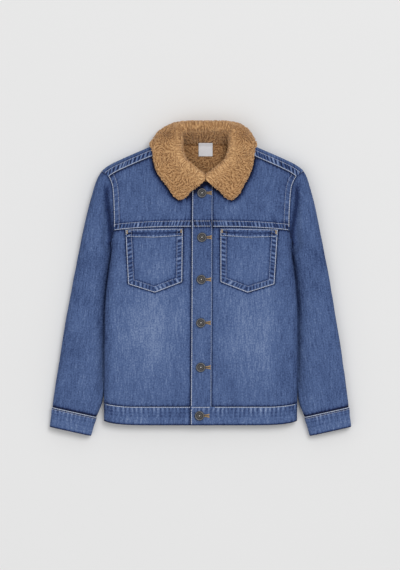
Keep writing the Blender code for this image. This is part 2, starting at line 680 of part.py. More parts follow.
def vertex_normals(points, faces):
    diagonals = np.cross(
        points[faces[:, 2]] - points[faces[:, 0]], points[faces[:, 3]] - points[faces[:, 1]]
    )
    normals = np.zeros_like(points)
    for corner in range(4):
        np.add.at(normals, faces[:, corner], diagonals)
    return normals / np.linalg.norm(normals, axis=1, keepdims=True)


def add_wall(name, grids, look, depth, facing=None, closed=False, limit=None, collar=False):
    """Adds a wall of cloth. Its first side is made of the grids and its second lies depth along
    their normals, which are turned to the way it is facing, or outwards where that is None."""
    points, faces, first = welded(grids, closed)
    normals = vertex_normals(points, faces)
    towards = points - points.mean(axis=0) if facing is None else np.array(facing)
    if (normals * towards).sum() < 0:
        normals = -normals
    if np.ndim(depth):
        depth = depth.reshape(-1)[first][:, None]
    second = points + depth * normals
    if limit is not None:
        second = limit(points, second)
    count = len(points)
    edges = np.concatenate([np.stack([faces[:, i], faces[:, (i + 1) % 4]], axis=1) for i in range(4)])
    present = {tuple(edge) for edge in edges.tolist()}
    rim = [(b, a, a + count, b + count) for a, b in present if (b, a) not in present]
    all_faces = faces.tolist() + (faces[:, ::-1] + count).tolist() + rim
    return add_mesh(name, leaned(np.concatenate([points, second]), collar), all_faces, look)


def add_button(name, place, look):
    """A turned metal button, seated on the front band."""
    radius, height = np.array(BUTTON_PROFILE).T
    angle = np.linspace(0, 2 * math.pi, BUTTON_SIDES, endpoint=False)[:, None]
    x, y = place
    seat = band_height(np.array([[x, y]]))[0] + LAYER_GAP
    ring = radius[1:-1] * np.ones_like(angle)
    points = np.stack([x + ring * np.cos(angle), y + ring * np.sin(angle), 0 * ring], axis=-1)
    points[..., 2] = seat + height[1:-1]
    ends = np.array([(x, y, seat + height[0]), (x, y, seat + height[-1])])
    rows = points.shape[1]
    faces = []
    for side in range(BUTTON_SIDES):
        here, there = side * rows, (side + 1) % BUTTON_SIDES * rows
        faces += [(here + i, there + i, there + i + 1, here + i + 1) for i in range(rows - 1)]
        faces.append((len(angle) * rows, there, here))
        faces.append((len(angle) * rows + 1, here + rows - 1, there + rows - 1))
    vertices = np.concatenate([points.reshape(-1, 3), ends])
    shift = leaned(np.array([[x, y, 0.0]]))[0] - (x, y, 0.0)
    return add_mesh(name, vertices + shift, faces, look)


def band_height(plan):
    """The top of the front band, which lies on the other front."""
    return body_surface(plan, 1)[..., 2] + LAYER_GAP + PATCH_CLOTH


def raised(points, by):
    return points + np.array([0.0, 0.0, by])


def add_body():
    """The back, the fronts and the waistband."""
    back = back_half()
    strip = shoulder_strip()
    halves = [mirrored(grid, side) for grid in (back, strip) for side in (1, -1)]
    add_wall("back", halves, DENIM, -CLOTH, (0, 0, -1))
    band = waistband(0.0, -1)
    halves = [mirrored(band, side) for side in (1, -1)]
    add_wall("waistband_back", halves, DENIM, -CLOTH, (0, 0, -1))
    for label, side, inner_x in (("left", 1, BAND_OUTER + SEAM_GAP), ("right", -1, UNDERLAP)):
        yoke = mirrored(front_yoke(inner_x), side)
        lower = mirrored(apart(front_lower(inner_x)), side)
        add_wall("front_yoke_" + label, [yoke], DENIM, -CLOTH, (0, 0, 1))
        add_wall("front_lower_" + label, [lower], DENIM_FADED, -CLOTH, (0, 0, 1))
    right = mirrored(apart(waistband(UNDERLAP, 1)), -1)
    add_wall("waistband_right", [right], DENIM, -CLOTH, (0, 0, 1))
    left = apart(waistband(BAND_FREE, 1))
    left[:, :2, 2] += LAYER_GAP + CLOTH
    add_wall("waistband_left", [left], DENIM, -CLOTH, (0, 0, 1))


def add_sleeves():
    for label, side in (("left", 1), ("right", -1)):
        add_wall("sleeve_" + label, [mirrored(sleeve_rings(), side)], DENIM, -CLOTH, closed=True)
        add_wall("cuff_" + label, [mirrored(cuff_rings(), side)], DENIM, -CLOTH, closed=True)


def add_front_pieces():
    """The front band, the pockets and the buttons."""
    columns = np.linspace(BAND_FREE, BAND_OUTER, 4)
    bottom = np.stack([columns, waist_seam(columns)], axis=-1)
    top = np.stack([columns, np.full(4, BAND_TOP)], axis=-1)
    rows = np.linspace(0, 1, PLACKET_STEPS + 1)[:, None, None]
    plan = bottom + (top - bottom) * rows
    band = raised(body_surface(plan, 1), LAYER_GAP + PATCH_CLOTH)
    add_wall("front_band", [band], DENIM_FADED, -PATCH_CLOTH, (0, 0, 1))
    hem_share = 1 - POCKET_HEM / (POCKET_INNER_TOP[1] - POCKET_POINT[1])
    hem_gap = SEAM_GAP / (POCKET_INNER_TOP[1] - POCKET_INNER_BOTTOM[1])
    for label, side in (("left", 1), ("right", -1)):
        low = body_surface(pocket_points(0, hem_share, 5), 1)
        high = body_surface(pocket_points(hem_share + hem_gap, 1, 1), 1)
        low = mirrored(raised(low, LAYER_GAP + PATCH_CLOTH), side)
        high = mirrored(raised(high, LAYER_GAP + HEM_FOLD), side)
        add_wall("pocket_" + label, [low], DENIM, -PATCH_CLOTH, (0, 0, 1))
        add_wall("pocket_hem_" + label, [high], DENIM, -HEM_FOLD, (0, 0, 1))
    for number, place in enumerate(BUTTON_PLACES, 1):
        add_button(f"button_{number}", place, BUTTON_METAL)


def resting_on_body(under):
    """Lifts the points that lie over the shoulders clear of them."""
    plan = under[..., :2]
    fold = SHOULDER.points
    over = plan[..., 1] < np.interp(np.abs(plan[..., 0]), fold[:, 0], fold[:, 1])
    over &= np.abs(plan[..., 0]) > SHOULDER_LINE[0][0] - SEAM_GAP
    lifted = under.copy()
    floor = body_surface(plan, 1)[..., 2] + REST_GAP
    lifted[..., 2] = np.where(over, np.maximum(under[..., 2], floor), under[..., 2])
    return lifted


def keep_to_its_side(first, second):
    """The collar's front ends meet at the middle, so neither one's pile crosses it."""
    side = np.sign(first[:, 0])
    held = side * np.maximum(side * second[:, 0], SEAM_GAP)
    limited = second.copy()
    limited[:, 0] = np.where(first[:, 1] < FRONT_NECK_TOP, held, second[:, 0])
    return limited


def add_neck():
    """The collar, the back neck's lining and the label."""
    under = resting_on_body(collar_under_side())
    pile = pile_thickness(under)
    add_wall("collar", [under], FLEECE, pile, (0, 0, 1), limit=keep_to_its_side, collar=True)
    across = np.linspace(-LINING_HALF_WIDTH, LINING_HALF_WIDTH, 9)
    x, y = np.meshgrid(across, np.linspace(LINING_BOTTOM, LINING_TOP, 7))
    lining = np.stack([x, y, np.full_like(x, CLOTH + LAYER_GAP)], axis=-1)
    add_wall("neck_lining", [lining], FLEECE, LINING_PILE, (0, 0, 1), collar=True)
    top = CLOTH + LINING_PILE + 2 * LAYER_GAP
    x, y = np.meshgrid(
        np.linspace(-LABEL_SIZE[0] / 2, LABEL_SIZE[0] / 2, 4),
        np.linspace(LABEL_TOP - LABEL_SIZE[1], LABEL_TOP, 4),
    )
    label = np.stack([x, y, np.full_like(x, top)], axis=-1)
    add_wall("label", [label], LABEL_WHITE, LABEL_CLOTH, (0, 0, 1), collar=True)


def main():
    for old in list(bpy.data.objects):
        bpy.data.objects.remove(old)
    add_body()
    add_sleeves()
    add_front_pieces()
    add_neck()


main()
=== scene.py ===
"""The looks of a child's denim jacket with a fleece collar, laid flat on its back.

X runs across the jacket, +X to the wearer's left, +Y runs to the collar and +Z up. Shapes are worked
out in millimetres for one half of the jacket, whose x is the distance out from the middle, then
mirrored, leaned and put into metres.
"""

import logging
import math
from collections.abc import Callable, Sequence
from dataclasses import dataclass, field
from enum import Enum

import bpy
import numpy as np
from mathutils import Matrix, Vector
from numpy.typing import NDArray


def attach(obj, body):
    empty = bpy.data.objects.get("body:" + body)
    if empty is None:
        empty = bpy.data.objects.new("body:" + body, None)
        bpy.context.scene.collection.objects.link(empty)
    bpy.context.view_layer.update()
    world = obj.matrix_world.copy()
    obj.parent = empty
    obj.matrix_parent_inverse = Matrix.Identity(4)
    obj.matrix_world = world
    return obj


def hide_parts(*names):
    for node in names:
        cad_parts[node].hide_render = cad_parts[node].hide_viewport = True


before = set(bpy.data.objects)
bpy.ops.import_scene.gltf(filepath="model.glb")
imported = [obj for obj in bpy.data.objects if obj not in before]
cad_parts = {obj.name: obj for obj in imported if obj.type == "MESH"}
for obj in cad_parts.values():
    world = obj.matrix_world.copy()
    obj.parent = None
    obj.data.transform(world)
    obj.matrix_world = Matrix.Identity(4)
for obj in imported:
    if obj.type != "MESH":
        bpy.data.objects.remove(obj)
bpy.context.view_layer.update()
LOG = logging.getLogger("jacket")

Array = NDArray[np.float64]
Columns = tuple[str, ...]
Rows = tuple[tuple[float, ...], ...]
Pair = tuple[float, float]
Measure = Callable[[Array], tuple[Array, Array]]

MM = 0.001
UP = np.array([0.0, 0.0, 1.0])

# The body: half its width at its side edge, and how thick it lies.
BODY_COLUMNS = ("y", "half_width", "thickness")
BODY_ROWS = (
    (-270.0, 173.7, 23.0),
    (-207.0, 174.2, 25.5),
    (-73.0, 173.6, 28.0),
    (-24.0, 171.0, 29.0),
    (10.0, 167.0, 29.5),
    (63.0, 161.0, 30.0),
    (105.0, 166.5, 30.0),
    (141.0, 170.5, 30.0),
    (161.0, 171.0, 30.0),
    (175.0, 176.0, 30.0),
    (185.0, 190.0, 30.0),
    (260.0, 320.0, 30.0),
)
# The fold along the shoulder, from the neck to its tip and a little down the sleeve.
SHOULDER_LINE = (
    (50.0, 257.5), (76.0, 245.8), (102.6, 233.8), (124.2, 224.5), (145.8, 214.9), (167.4, 204.2),
    (181.3, 193.5), (190.0, 178.5),
)
SHOULDER_TIP = (181.3, 193.5)
SHOULDER_NECK = (50.0, 240.5)
ARMHOLE_LINE = (
    SHOULDER_TIP, (168.6, 182.2), (161.0, 163.0), (158.9, 139.0), (157.6, 101.0), (157.8, 84.0),
    (161.0, 63.0),
)
# The front neckline, from the shoulder seam to the middle of the front and past it.
NECKLINE = (
    SHOULDER_NECK, (48.0, 224.0), (41.0, 209.0), (26.0, 193.5), (12.0, 181.0), (0.0, 174.0),
    (-17.0, 172.0),
)
# How far the jacket leans to the wearer's left as it lies: y, shift.
LEAN = ((-284.0, 0.0), (-130.0, 1.0), (50.0, 2.0), (160.0, 2.9), (215.0, 4.7), (290.0, 4.7))
# The sleeve from armhole to cuff: its outer fold, its inner fold measured out from the body's side
# edge, its thickness, half the height of its inner fold, how far that fold's rounding reaches in,
# how fast the top rises from it, and the reach of the outer rounding.
SLEEVE_COLUMNS = (
    "station", "outer_x", "outer_y", "inner_out", "inner_y", "thickness",
    "fold_half", "fold_reach", "rise", "outer_reach",
)
SLEEVE_ROWS = (
    (0, 181.3, 193.5, 2.6, 61.8, 30.0, 15.0, 16.0, 10.0, 17.0),
    (1, 187.5, 183.0, 2.3, 59.0, 30.0, 12.0, 13.0, 10.0, 17.0),
    (2, 194.0, 166.0, 1.9, 54.5, 29.5, 9.0, 10.0, 11.0, 17.0),
    (3, 199.8, 144.7, 1.4, 49.0, 29.0, 6.5, 7.5, 12.0, 17.0),
    (4, 205.2, 123.1, 0.3, 42.0, 28.5, 4.6, 5.0, 13.0, 16.5),
    (5, 211.0, 97.0, -0.8, 32.0, 28.0, 3.6, 3.6, 14.0, 16.0),
    (6, 217.0, 68.5, -1.5, 18.0, 27.5, 3.5, 3.5, 15.0, 16.0),
    (7, 224.0, 34.0, -1.5, -3.0, 27.0, 3.5, 3.5, 15.0, 15.5),
    (8, 231.0, -4.0, -1.5, -28.0, 27.0, 3.5, 3.5, 15.0, 15.0),
    (9, 238.0, -44.0, -1.5, -60.0, 26.5, 3.5, 3.5, 15.0, 15.0),
    (10, 245.0, -84.0, -1.5, -97.0, 26.0, 3.5, 3.5, 15.0, 14.5),
    (11, 251.5, -125.0, -1.5, -138.0, 25.0, 3.5, 3.5, 14.0, 14.0),
    (12, 257.5, -165.6, -1.5, -180.0, 24.0, 4.0, 4.0, 13.0, 13.5),
    (13, 262.8, -201.0, 2.4, -219.0, 23.0, 8.0, 8.0, 11.0, 13.0),
    (14, 267.0, -231.3, 13.2, -249.0, 22.0, 11.0, 12.0, 10.0, 12.5),
)
# The collar's under side from the middle of the back (0) to the front end (7): the neck seam, the
# fold and the leaf's edge.
COLLAR_COLUMNS = (
    "station", "neck_x", "neck_y", "neck_z", "fold_x", "fold_y", "fold_z",
    "edge_x", "edge_y", "edge_z",
)
COLLAR_ROWS = (
    (0, 0.0, 247.4, 1.2, 0.0, 272.6, 27.0, 0.0, 260.5, 9.6),
    (1, 26.0, 247.4, 1.4, 27.0, 272.6, 27.5, 30.0, 260.5, 9.6),
    (2, 44.0, 248.5, 3.0, 48.0, 267.0, 31.0, 60.0, 262.5, 9.6),
    (3, 48.9, 250.2, 16.0, 52.5, 255.0, 35.0, 80.0, 259.0, 11.0),
    (4, 48.8, 239.0, 31.0, 51.5, 236.0, 36.5, 93.0, 240.5, 21.0),
    (5, 42.3, 213.0, 31.0, 45.0, 213.0, 36.5, 88.5, 202.0, 31.2),
    (6, 22.8, 192.2, 31.0, 25.0, 192.5, 36.5, 70.5, 168.0, 31.2),
    (7, 0.6, 175.2, 31.0, 2.2, 177.0, 36.5, 46.5, 141.5, 31.2),
)
# How the leaf hangs from the fold: the way that it faces (degrees from +X), how far it swings out
# and falls there, and how it comes into its edge.
DRAPE_COLUMNS = ("station", "facing", "swing", "fall", "lay", "lift")
DRAPE_ROWS = (
    (0, 90.0, 4.0, 12.0, 15.0, 0.0),
    (1, 90.0, 4.0, 12.0, 15.0, 0.0),
    (2, 62.0, 8.0, 8.0, 10.0, 1.0),
    (3, 30.0, 14.0, 1.0, 3.0, 12.0),
    (4, 4.0, 18.0, -1.0, -2.0, 14.0),
    (5, -18.0, 14.0, 2.0, -16.0, 0.5),
    (6, -34.0, 14.0, 2.0, -16.0, 0.8),
    (7, -40.0, 14.0, 0.5, -16.0, 2.2),
)
# Soft creases in the cloth: x and y of both ends, the width, and the depth (a ridge is negative).
FRONT_CREASES = (
    (150.0, 62.0, 118.0, -8.0, 9.0, 0.9),
    (158.0, 22.0, 136.0, -60.0, 11.0, 0.8),
    (60.0, -120.0, 96.0, -206.0, 13.0, 0.6),
    (112.0, -70.0, 128.0, -190.0, 12.0, -0.6),
    (34.0, -60.0, 40.0, -170.0, 10.0, 0.5),
    (142.0, -120.0, 150.0, -214.0, 9.0, 0.7),
    (122.0, 168.0, 96.0, 120.0, 12.0, 0.7),
    (84.0, 150.0, 60.0, 112.0, 12.0, -0.5),
    (30.0, 150.0, 34.0, 106.0, 8.0, 0.4),
    (144.0, 178.0, 132.0, 112.0, 8.0, 0.5),
)
BACK_CREASES = (
    (-60.0, 150.0, -84.0, 60.0, 14.0, 0.9),
    (40.0, 130.0, 66.0, 20.0, 12.0, -0.8),
    (-130.0, 40.0, -96.0, -80.0, 12.0, 0.9),
    (100.0, -30.0, 122.0, -170.0, 14.0, 0.8),
    (-30.0, -60.0, -44.0, -190.0, 12.0, 0.7),
    (20.0, -110.0, 52.0, -200.0, 11.0, -0.6),
)
SLEEVE_CREASES = (
    (190.0, 60.0, 222.0, 20.0, 9.0, 0.8),
    (196.0, -10.0, 236.0, -30.0, 10.0, 0.7),
    (200.0, -40.0, 232.0, -92.0, 9.0, -0.6),
    (206.0, -110.0, 244.0, -132.0, 10.0, 0.6),
    (222.0, 90.0, 214.0, 10.0, 10.0, 0.6),
    (214.0, -140.0, 238.0, -214.0, 11.0, 0.7),
)
BUTTON_PLACES = (
    (0.0, 153.3), (0.6, 73.7), (0.0, -2.1), (-0.4, -79.9), (-0.2, -159.8), (-1.8, -246.8),
)
# The front band's outer and free edges, out from the middle on the wearer's left.
BAND_OUTER = 19.5
BAND_FREE = -17.5
# How far apart the points of a line lie before it is stitched.
ROW_STEP = 1.2
# How thick one layer of cloth lies under another.
UNDERLAYER = 1.6
# What comes below this height is pressed up to it, and keeps this share of its relief.
RESTING = 0.2
PRESSED = 0.06
# Where the collar's two front edges part, and how far to its sides they shade the cloth below.
PARTING = (8.3, 171.5)
PARTING_REACH = 37.0
# Painted shade in the valley beside the armhole on the sleeve: y, and how far from the seam its middle lies.
VALLEY = ((60.0, 2.0), (101.0, 8.0), (141.0, 12.0), (165.0, 10.0), (190.0, 8.0))
FLOOR = ("floor",)
ON_BACK = ("back",)


class Side(Enum):
    """The wearer's side that a piece is on."""

    LEFT = 1
    RIGHT = -1

    @property
    def label(self) -> str:
        """The word that ends the names of this side's nodes."""
        return self.name.lower()


class Face(Enum):
    """Which layer of the flat body a surface belongs to."""

    FRONT = 1
    BACK = -1


def slopes(keys: Array, values: Array) -> Array:
    """The slope at each key of a smooth curve that never overshoots: the weighted harmonic mean of the
    rises on both sides, or 0 where they differ in sign.

    Args:
        keys: Rising keys.
        values: The value at each key.

    Returns:
        One slope a key.
    """
    steps = np.diff(keys)
    rises = np.diff(values) / steps
    result = np.concatenate([[rises[0]], np.zeros(len(keys) - 2), [rises[-1]]])
    same_way = rises[:-1] * rises[1:] > 0
    before = 2 * steps[1:] + steps[:-1]
    after = steps[1:] + 2 * steps[:-1]
    safe = np.where(same_way, rises[:-1] * rises[1:], 1.0)
    mean = (before + after) * safe / (before * rises[1:] + after * rises[:-1] + (~same_way))
    result[1:-1] = np.where(same_way, mean, 0.0)
    return result


def read_between(keys: Sequence[float] | Array, values: Sequence[float] | Array, at: Array) -> Array:
    """The smooth cubic through (key, value) points, read at any place.

    Args:
        keys: Rising keys.
        values: The value at each key.
        at: Where to read it; it holds its end values past its ends.

    Returns:
        The values there.
    """
    keys = np.asarray(keys, float)
    values = np.asarray(values, float)
    at = np.clip(np.asarray(at, float), keys[0], keys[-1])
    slope = slopes(keys, values)
    index = np.clip(np.searchsorted(keys, at, side="right") - 1, 0, len(keys) - 2)
    step = keys[index + 1] - keys[index]
    t = (at - keys[index]) / step
    start = (1 + 2 * t) * (1 - t) ** 2 * values[index] + t * (1 - t) ** 2 * step * slope[index]
    end = t**2 * (3 - 2 * t) * values[index + 1] + t**2 * (t - 1) * step * slope[index + 1]
    return start + end


def plan_lengths(points: Array) -> Array:
    """The length along a line of plan points, from the first one."""
    return np.concatenate([[0], np.cumsum(np.hypot(*np.diff(points, axis=0).T))])


def lengths_along(points: Array, axis: int = 0) -> Array:
    """The length along a grid of points in space, from the first ones on an axis."""
    steps = np.linalg.norm(np.diff(points, axis=axis), axis=-1)
    return np.insert(np.cumsum(steps, axis=axis), 0, 0.0, axis=axis)


def plan_line(x: Array | float, y: Array | float) -> Array:
    """Plan points at these x and y, either of which may be one number."""
    return np.stack(np.broadcast_arrays(x, y), axis=-1)


def ease(value: Array, start: float, end: float) -> Array:
    """0 up to start and 1 from end on, along 3s^2 - 2s^3."""
    share = np.clip((value - start) / (end - start), 0, 1)
    return share * share * (3 - 2 * share)


def rounded(distance: Array, reach: float | Array) -> Array:
    """0 at an edge and 1 from reach inwards, along a quarter of an ellipse."""
    share = 1 - np.clip(distance / reach, 0, 1)
    return np.sqrt(np.clip(1 - share**2, 0, 1))


def hump(distance: Array, width: float) -> Array:
    """The bell exp(-(distance / width)^2)."""
    return np.exp(-((distance / width) ** 2))


def turn_spacing(steps: int) -> Array:
    """Shares of a rounding's reach that sit evenly round its quarter turn: 1 - cos(angle)."""
    return 1 - np.cos(np.linspace(0, math.pi / 2, steps + 1))


def graded(start: float, end: float, fine: float, coarse: float, near: float) -> Array:
    """Places from start to end, fine steps apart within near of each end and coarse steps between.

    Args:
        start: The first place.
        end: The last place, past start.
        fine: The step by the ends.
        coarse: The step in the middle.
        near: How far the fine steps reach.

    Returns:
        The places, rising.
    """
    near = min(near, (end - start) / 2.5)
    edge = np.linspace(0, near, max(2, round(near / fine)) + 1)
    middle = np.linspace(start + near, end - near, max(2, round((end - start - 2 * near) / coarse)) + 1)
    return np.concatenate([start + edge[:-1], middle, end - edge[:-1][::-1]])


def speckle(x: Array, y: Array, seed: float) -> Array:
    """Smooth random values from -1 to 1: each whole-number corner of the plane has the fraction of a
    large sine as its value, and 3s^2 - 2s^3 blends the four corners round a point.

    Args:
        x: Across, in the units of one blotch.
        y: Along, in the same units.
        seed: Picks another pattern.

    Returns:
        A value for each point.
    """
    x, y = np.broadcast_arrays(np.asarray(x, float), np.asarray(y, float))
    left, low = np.floor(x), np.floor(y)
    across, up = x - left, y - low
    across, up = across * across * (3 - 2 * across), up * up * (3 - 2 * up)

    def corner(dx: int, dy: int) -> Array:
        """The value at one corner of the square round each point."""
        wave = np.sin((left + dx) * 127.1 + (low + dy) * 311.7 + seed * 74.7) * 43758.5453
        return wave - np.floor(wave)

    bottom = corner(0, 0) * (1 - across) + corner(1, 0) * across
    top = corner(0, 1) * (1 - across) + corner(1, 1) * across
    return 2 * (bottom * (1 - up) + top * up) - 1


def wool(shape: tuple[int, int], seed: int, steps: int = 2) -> Array:
    """Worm-like ridges of a curly pile, from 0 in the clefts to 1 on top, on a grid whose points lie a
    little over a millimetre apart. Noise less its blur has ridges of one pitch, and its mean along
    short curves, whose direction turns slowly from place to place, draws them out.

    Args:
        shape: The grid's rows and columns.
        seed: Picks the ridges.
        steps: How many points the ridges are drawn out each way.

    Returns:
        The ridges' height at each point.
    """
    fine = blurred(np.random.default_rng(seed).normal(size=shape), 1)
    band = fine - blurred(fine, 2)
    row, column = np.meshgrid(np.arange(shape[0]), np.arange(shape[1]), indexing="ij")
    turn = 1.9 * speckle(row / 13.0, column / 13.0, seed + 0.5)
    total = band.copy()
    for way in (-1, 1):
        at = [row.astype(float), column.astype(float)]
        for _ in range(steps):
            place = tuple(np.round(a).astype(int) % n for a, n in zip(at, shape))
            at = [at[0] + way * np.sin(turn[place]), at[1] + way * np.cos(turn[place])]
            place = tuple(np.round(a).astype(int) % n for a, n in zip(at, shape))
            total = total + band[place]
    return ease(total / total.std(), -1.8, 1.4)


def blurred(values: Array, times: int) -> Array:
    """A grid smoothed so many times along both axes by weights of 1, 2 and 1."""
    for _ in range(times):
        for axis in (0, 1):
            values = (np.roll(values, 1, axis) + 2 * values + np.roll(values, -1, axis)) / 4
    return values


class Table:
    """Rows with named columns, read smoothly between the rows. The first column is the key."""

    def __init__(self, columns: Columns, rows: Rows) -> None:
        """Stores each column under its name."""
        values = np.array(rows, float)
        self.key = values[:, 0]
        self.values = dict(zip(columns, values.T))

    def read(self, column: str, at: Array | float) -> Array:
        """A column's value at any key."""
        return read_between(self.key, self.values[column], at)

    def point(self, prefix: str, at: Array) -> Array:
        """The point whose three columns share a prefix."""
        return np.stack([self.read(prefix + axis, at) for axis in ("_x", "_y", "_z")], axis=-1)


class Path:
    """A plan curve through a few points, read by its length from the first one."""

    def __init__(self, points: Sequence[Sequence[float]] | Array, smooth: bool = True) -> None:
        """Samples the curve.

        Args:
            points: Its plan points.
            smooth: A smooth curve, or else straight lines with corners.
        """
        points = np.array(points, float)
        if smooth:
            chord = plan_lengths(points)
            fine = np.linspace(0, chord[-1], 120)
            points = np.stack([read_between(chord, points[:, i], fine) for i in (0, 1)], axis=-1)
        self.points = points
        self.length_to = plan_lengths(points)
        self.length = float(self.length_to[-1])

    def at(self, lengths: Array | float) -> Array:
        """The plan points at these lengths."""
        return np.stack([np.interp(lengths, self.length_to, self.points[:, i]) for i in (0, 1)], -1)

    def normal(self, lengths: Array) -> Array:
        """The unit normals on the left of the path."""
        ahead = self.at(np.asarray(lengths) + 0.5) - self.at(np.asarray(lengths) - 0.5)
        ahead /= np.linalg.norm(ahead, axis=-1, keepdims=True)
        return np.stack([-ahead[..., 1], ahead[..., 0]], axis=-1)

    def beside(self, lengths: Array, offset: float) -> Array:
        """Plan points that lie offset to the left of the path."""
        return self.at(lengths) + offset * self.normal(lengths)

    def nearest(self, plan: Array) -> tuple[Array, Array]:
        """How far each plan point lies from the path, and the length of the path's nearest point. Each
        straight piece of the path is tried in turn, and the nearest one is kept.

        Args:
            plan: Plan points, in any grid.

        Returns:
            The distances and the lengths.
        """
        best = np.full(plan.shape[:-1], np.inf)
        place = np.zeros(plan.shape[:-1])
        for start, end, reached in zip(self.points[:-1], self.points[1:], self.length_to[:-1]):
            along = end - start
            size = math.hypot(*along)
            if size == 0:
                continue
            t = np.clip(((plan - start) @ along) / size**2, 0, 1)
            gap = np.linalg.norm(plan - start - t[..., None] * along, axis=-1)
            closer = gap < best
            best = np.where(closer, gap, best)
            place = np.where(closer, reached + t * size, place)
        return best, place

    def length_where(self, column: int, value: float) -> float:
        """The first length at which the path's x (0) or y (1) comes down past a value."""
        return float(self.length_to[np.argmax(self.points[:, column] <= value)])


BODY = Table(BODY_COLUMNS, BODY_ROWS)
SLEEVE = Table(SLEEVE_COLUMNS, SLEEVE_ROWS)
COLLAR = Table(COLLAR_COLUMNS, COLLAR_ROWS)
DRAPE = Table(DRAPE_COLUMNS, DRAPE_ROWS)
SHOULDER = Path(SHOULDER_LINE)
ARMHOLE = Path(ARMHOLE_LINE)
TIP_LENGTH = SHOULDER.length_where(1, SHOULDER_TIP[1])


def pucker_wave(along: Array, pitch: float, seed: float) -> Array:
    """Uneven ripples from 0 to 1 along a seam: half of 1 + cos(2 pi phase), whose phase runs at one
    turn a pitch and wanders with slow noise, and whose height wanders too."""
    phase = along / pitch + 0.6 * speckle(along / (2.5 * pitch), 0.5 * np.ones_like(along), seed)
    height = 0.66 + 0.42 * speckle(along / (1.3 * pitch), 3.5 * np.ones_like(along), seed + 5)
    return np.clip(0.5 + 0.5 * np.cos(2 * math.pi * phase), 0, 1) * height


@dataclass(frozen=True)
class FelledSeam:
    """A seam folded flat and sewn with two rows, which the wash has puckered. d is the distance into the
    piece that lies on top, from its edge, and s runs along the seam. Besides its faded puckers it carries
    painted shade: a dark line on the cloth beside the folded edge, a dark line past the far row, and a dark
    line along an edge that turns under where its edge number is negative."""

    near_row: float = 1.1
    far_row: float = 11.0
    pitch: float = 7.4
    height: float = 0.7
    pucker: float = 0.6
    slant: float = 0.3
    contrast: float = 2.1
    # Painted shadow beside the folded edge: how dark it is, and how far it reaches.
    ditch_shade: float = 1.9
    ditch_shade_width: float = 1.6
    # Painted shade in a line past the far row.
    groove_shade: float = 0.8
    tail: float = 0.9
    # The folded edge fades paler where this is positive and takes painted shade where it is negative.
    edge: float = 0.7
    edge_width: float = 0.9
    row_width: float = 0.8
    row_pull: float = 0.25
    lip: float = 1.1

    @property
    def rows(self) -> Pair:
        """The distances of its two rows of stitches from the folded edge."""
        return self.near_row, self.far_row

    def on_top(self, d: Array, s: Array, seed: float) -> tuple[Array, Array]:
        """The relief on the piece with the folded edge. Between its rows the cloth bulges as half a sine
        times the ripples, each row pulls it down in a narrow bell, and past the far row the ripples die away.
        The ripples' crests fade paler, painted shade darkens a line past the far row, and the folded edge
        fades paler where its edge number is positive and takes painted shade where it is negative.

        Args:
            d: Distance in from the edge.
            s: Length along it.
            seed: Picks the ripples.

        Returns:
            The lift in millimetres, and the fade with painted shade added.
        """
        band = 1 - ease(d, self.far_row, self.far_row + 5)
        share = np.clip((d - self.near_row) / (self.far_row - self.near_row), 0, 1)
        ripple = pucker_wave(s + self.slant * d, self.pitch, seed)
        bulge = np.sin(math.pi * share)
        rows = hump(d - self.near_row, self.row_width) + hump(d - self.far_row, self.row_width)
        tail = np.exp(-np.clip(d - self.far_row, 0, None) / 5) * (d > self.far_row)
        lift = self.height * band + self.pucker * bulge * (ripple - 0.2) - self.row_pull * rows
        lift += 0.35 * self.pucker * tail * (ripple - 0.4)
        lift -= self.lip * (1 - rounded(np.clip(d, 0, None), self.lip))
        wear_and_shade = self.contrast * bulge**0.5 * (ripple - 0.45) + self.tail * tail * (ripple - 0.5)
        # Fade on the folded edge where edge is positive; painted shade along it where it is negative.
        wear_and_shade += self.edge * hump(d, self.edge_width)
        # Painted shade: a dark line past the far row.
        wear_and_shade -= self.groove_shade * (0.5 + ripple) * hump(d - self.far_row - 1.8, 1.3)
        return lift, wear_and_shade

    def beside(self, d: Array, s: Array, seed: float) -> tuple[Array, Array]:
        """The relief on the piece that runs under the folded edge: a shallow dip, what is left of the
        ripples, and a painted shadow on the cloth beside the edge.

        Args:
            d: Distance out from the edge.
            s: Length along it.
            seed: Picks the ripples.

        Returns:
            The lift in millimetres, and the fade with painted shade added.
        """
        ripple = pucker_wave(s - self.slant * d, self.pitch, seed)
        fade = np.exp(-np.clip(d, 0, None) / 4.5)
        lift = -0.35 * np.exp(-np.clip(d, 0, None) / 1.4) + 0.35 * self.pucker * fade * (ripple - 0.5)
        wear_and_shade = 0.7 * self.contrast * self.pucker * fade * (ripple - 0.5)
        # Painted shadow: a dark line on the cloth beside the folded edge.
        wear_and_shade = wear_and_shade - self.ditch_shade * np.exp(-np.clip(d, 0, None) / self.ditch_shade_width)
        return lift, wear_and_shade

    def through(self, d: Array, s: Array, seed: float) -> tuple[Array, Array]:
        """The relief on a piece under which the seam runs: the band's swelling and its ripples, with painted
        shade in dark lines just outside the folded edge and past the far row.

        Args:
            d: Distance from the folded edge.
            s: Length along it.
            seed: Picks the ripples.

        Returns:
            The lift in millimetres, and the fade with painted shade added.
        """
        band = ease(d, -2.5, 1.0) * (1 - ease(d, self.far_row, self.far_row + 3.5))
        ripple = pucker_wave(s + self.slant * d, self.pitch, seed)
        tail = np.exp(-np.abs(d - self.far_row / 2) / 9) * (1 - band)
        lift = band * (0.6 * self.height + self.pucker * (ripple - 0.3)) + 0.3 * tail * (ripple - 0.5)
        # Painted shade: dark lines just outside the folded edge and past the far row.
        wear_and_shade = (self.contrast * band + 0.9 * tail) * (ripple - 0.5) - 0.9 * hump(d + 1.2, 1.3)
        return lift, wear_and_shade - 0.5 * hump(d - self.far_row - 1.5, 1.2)


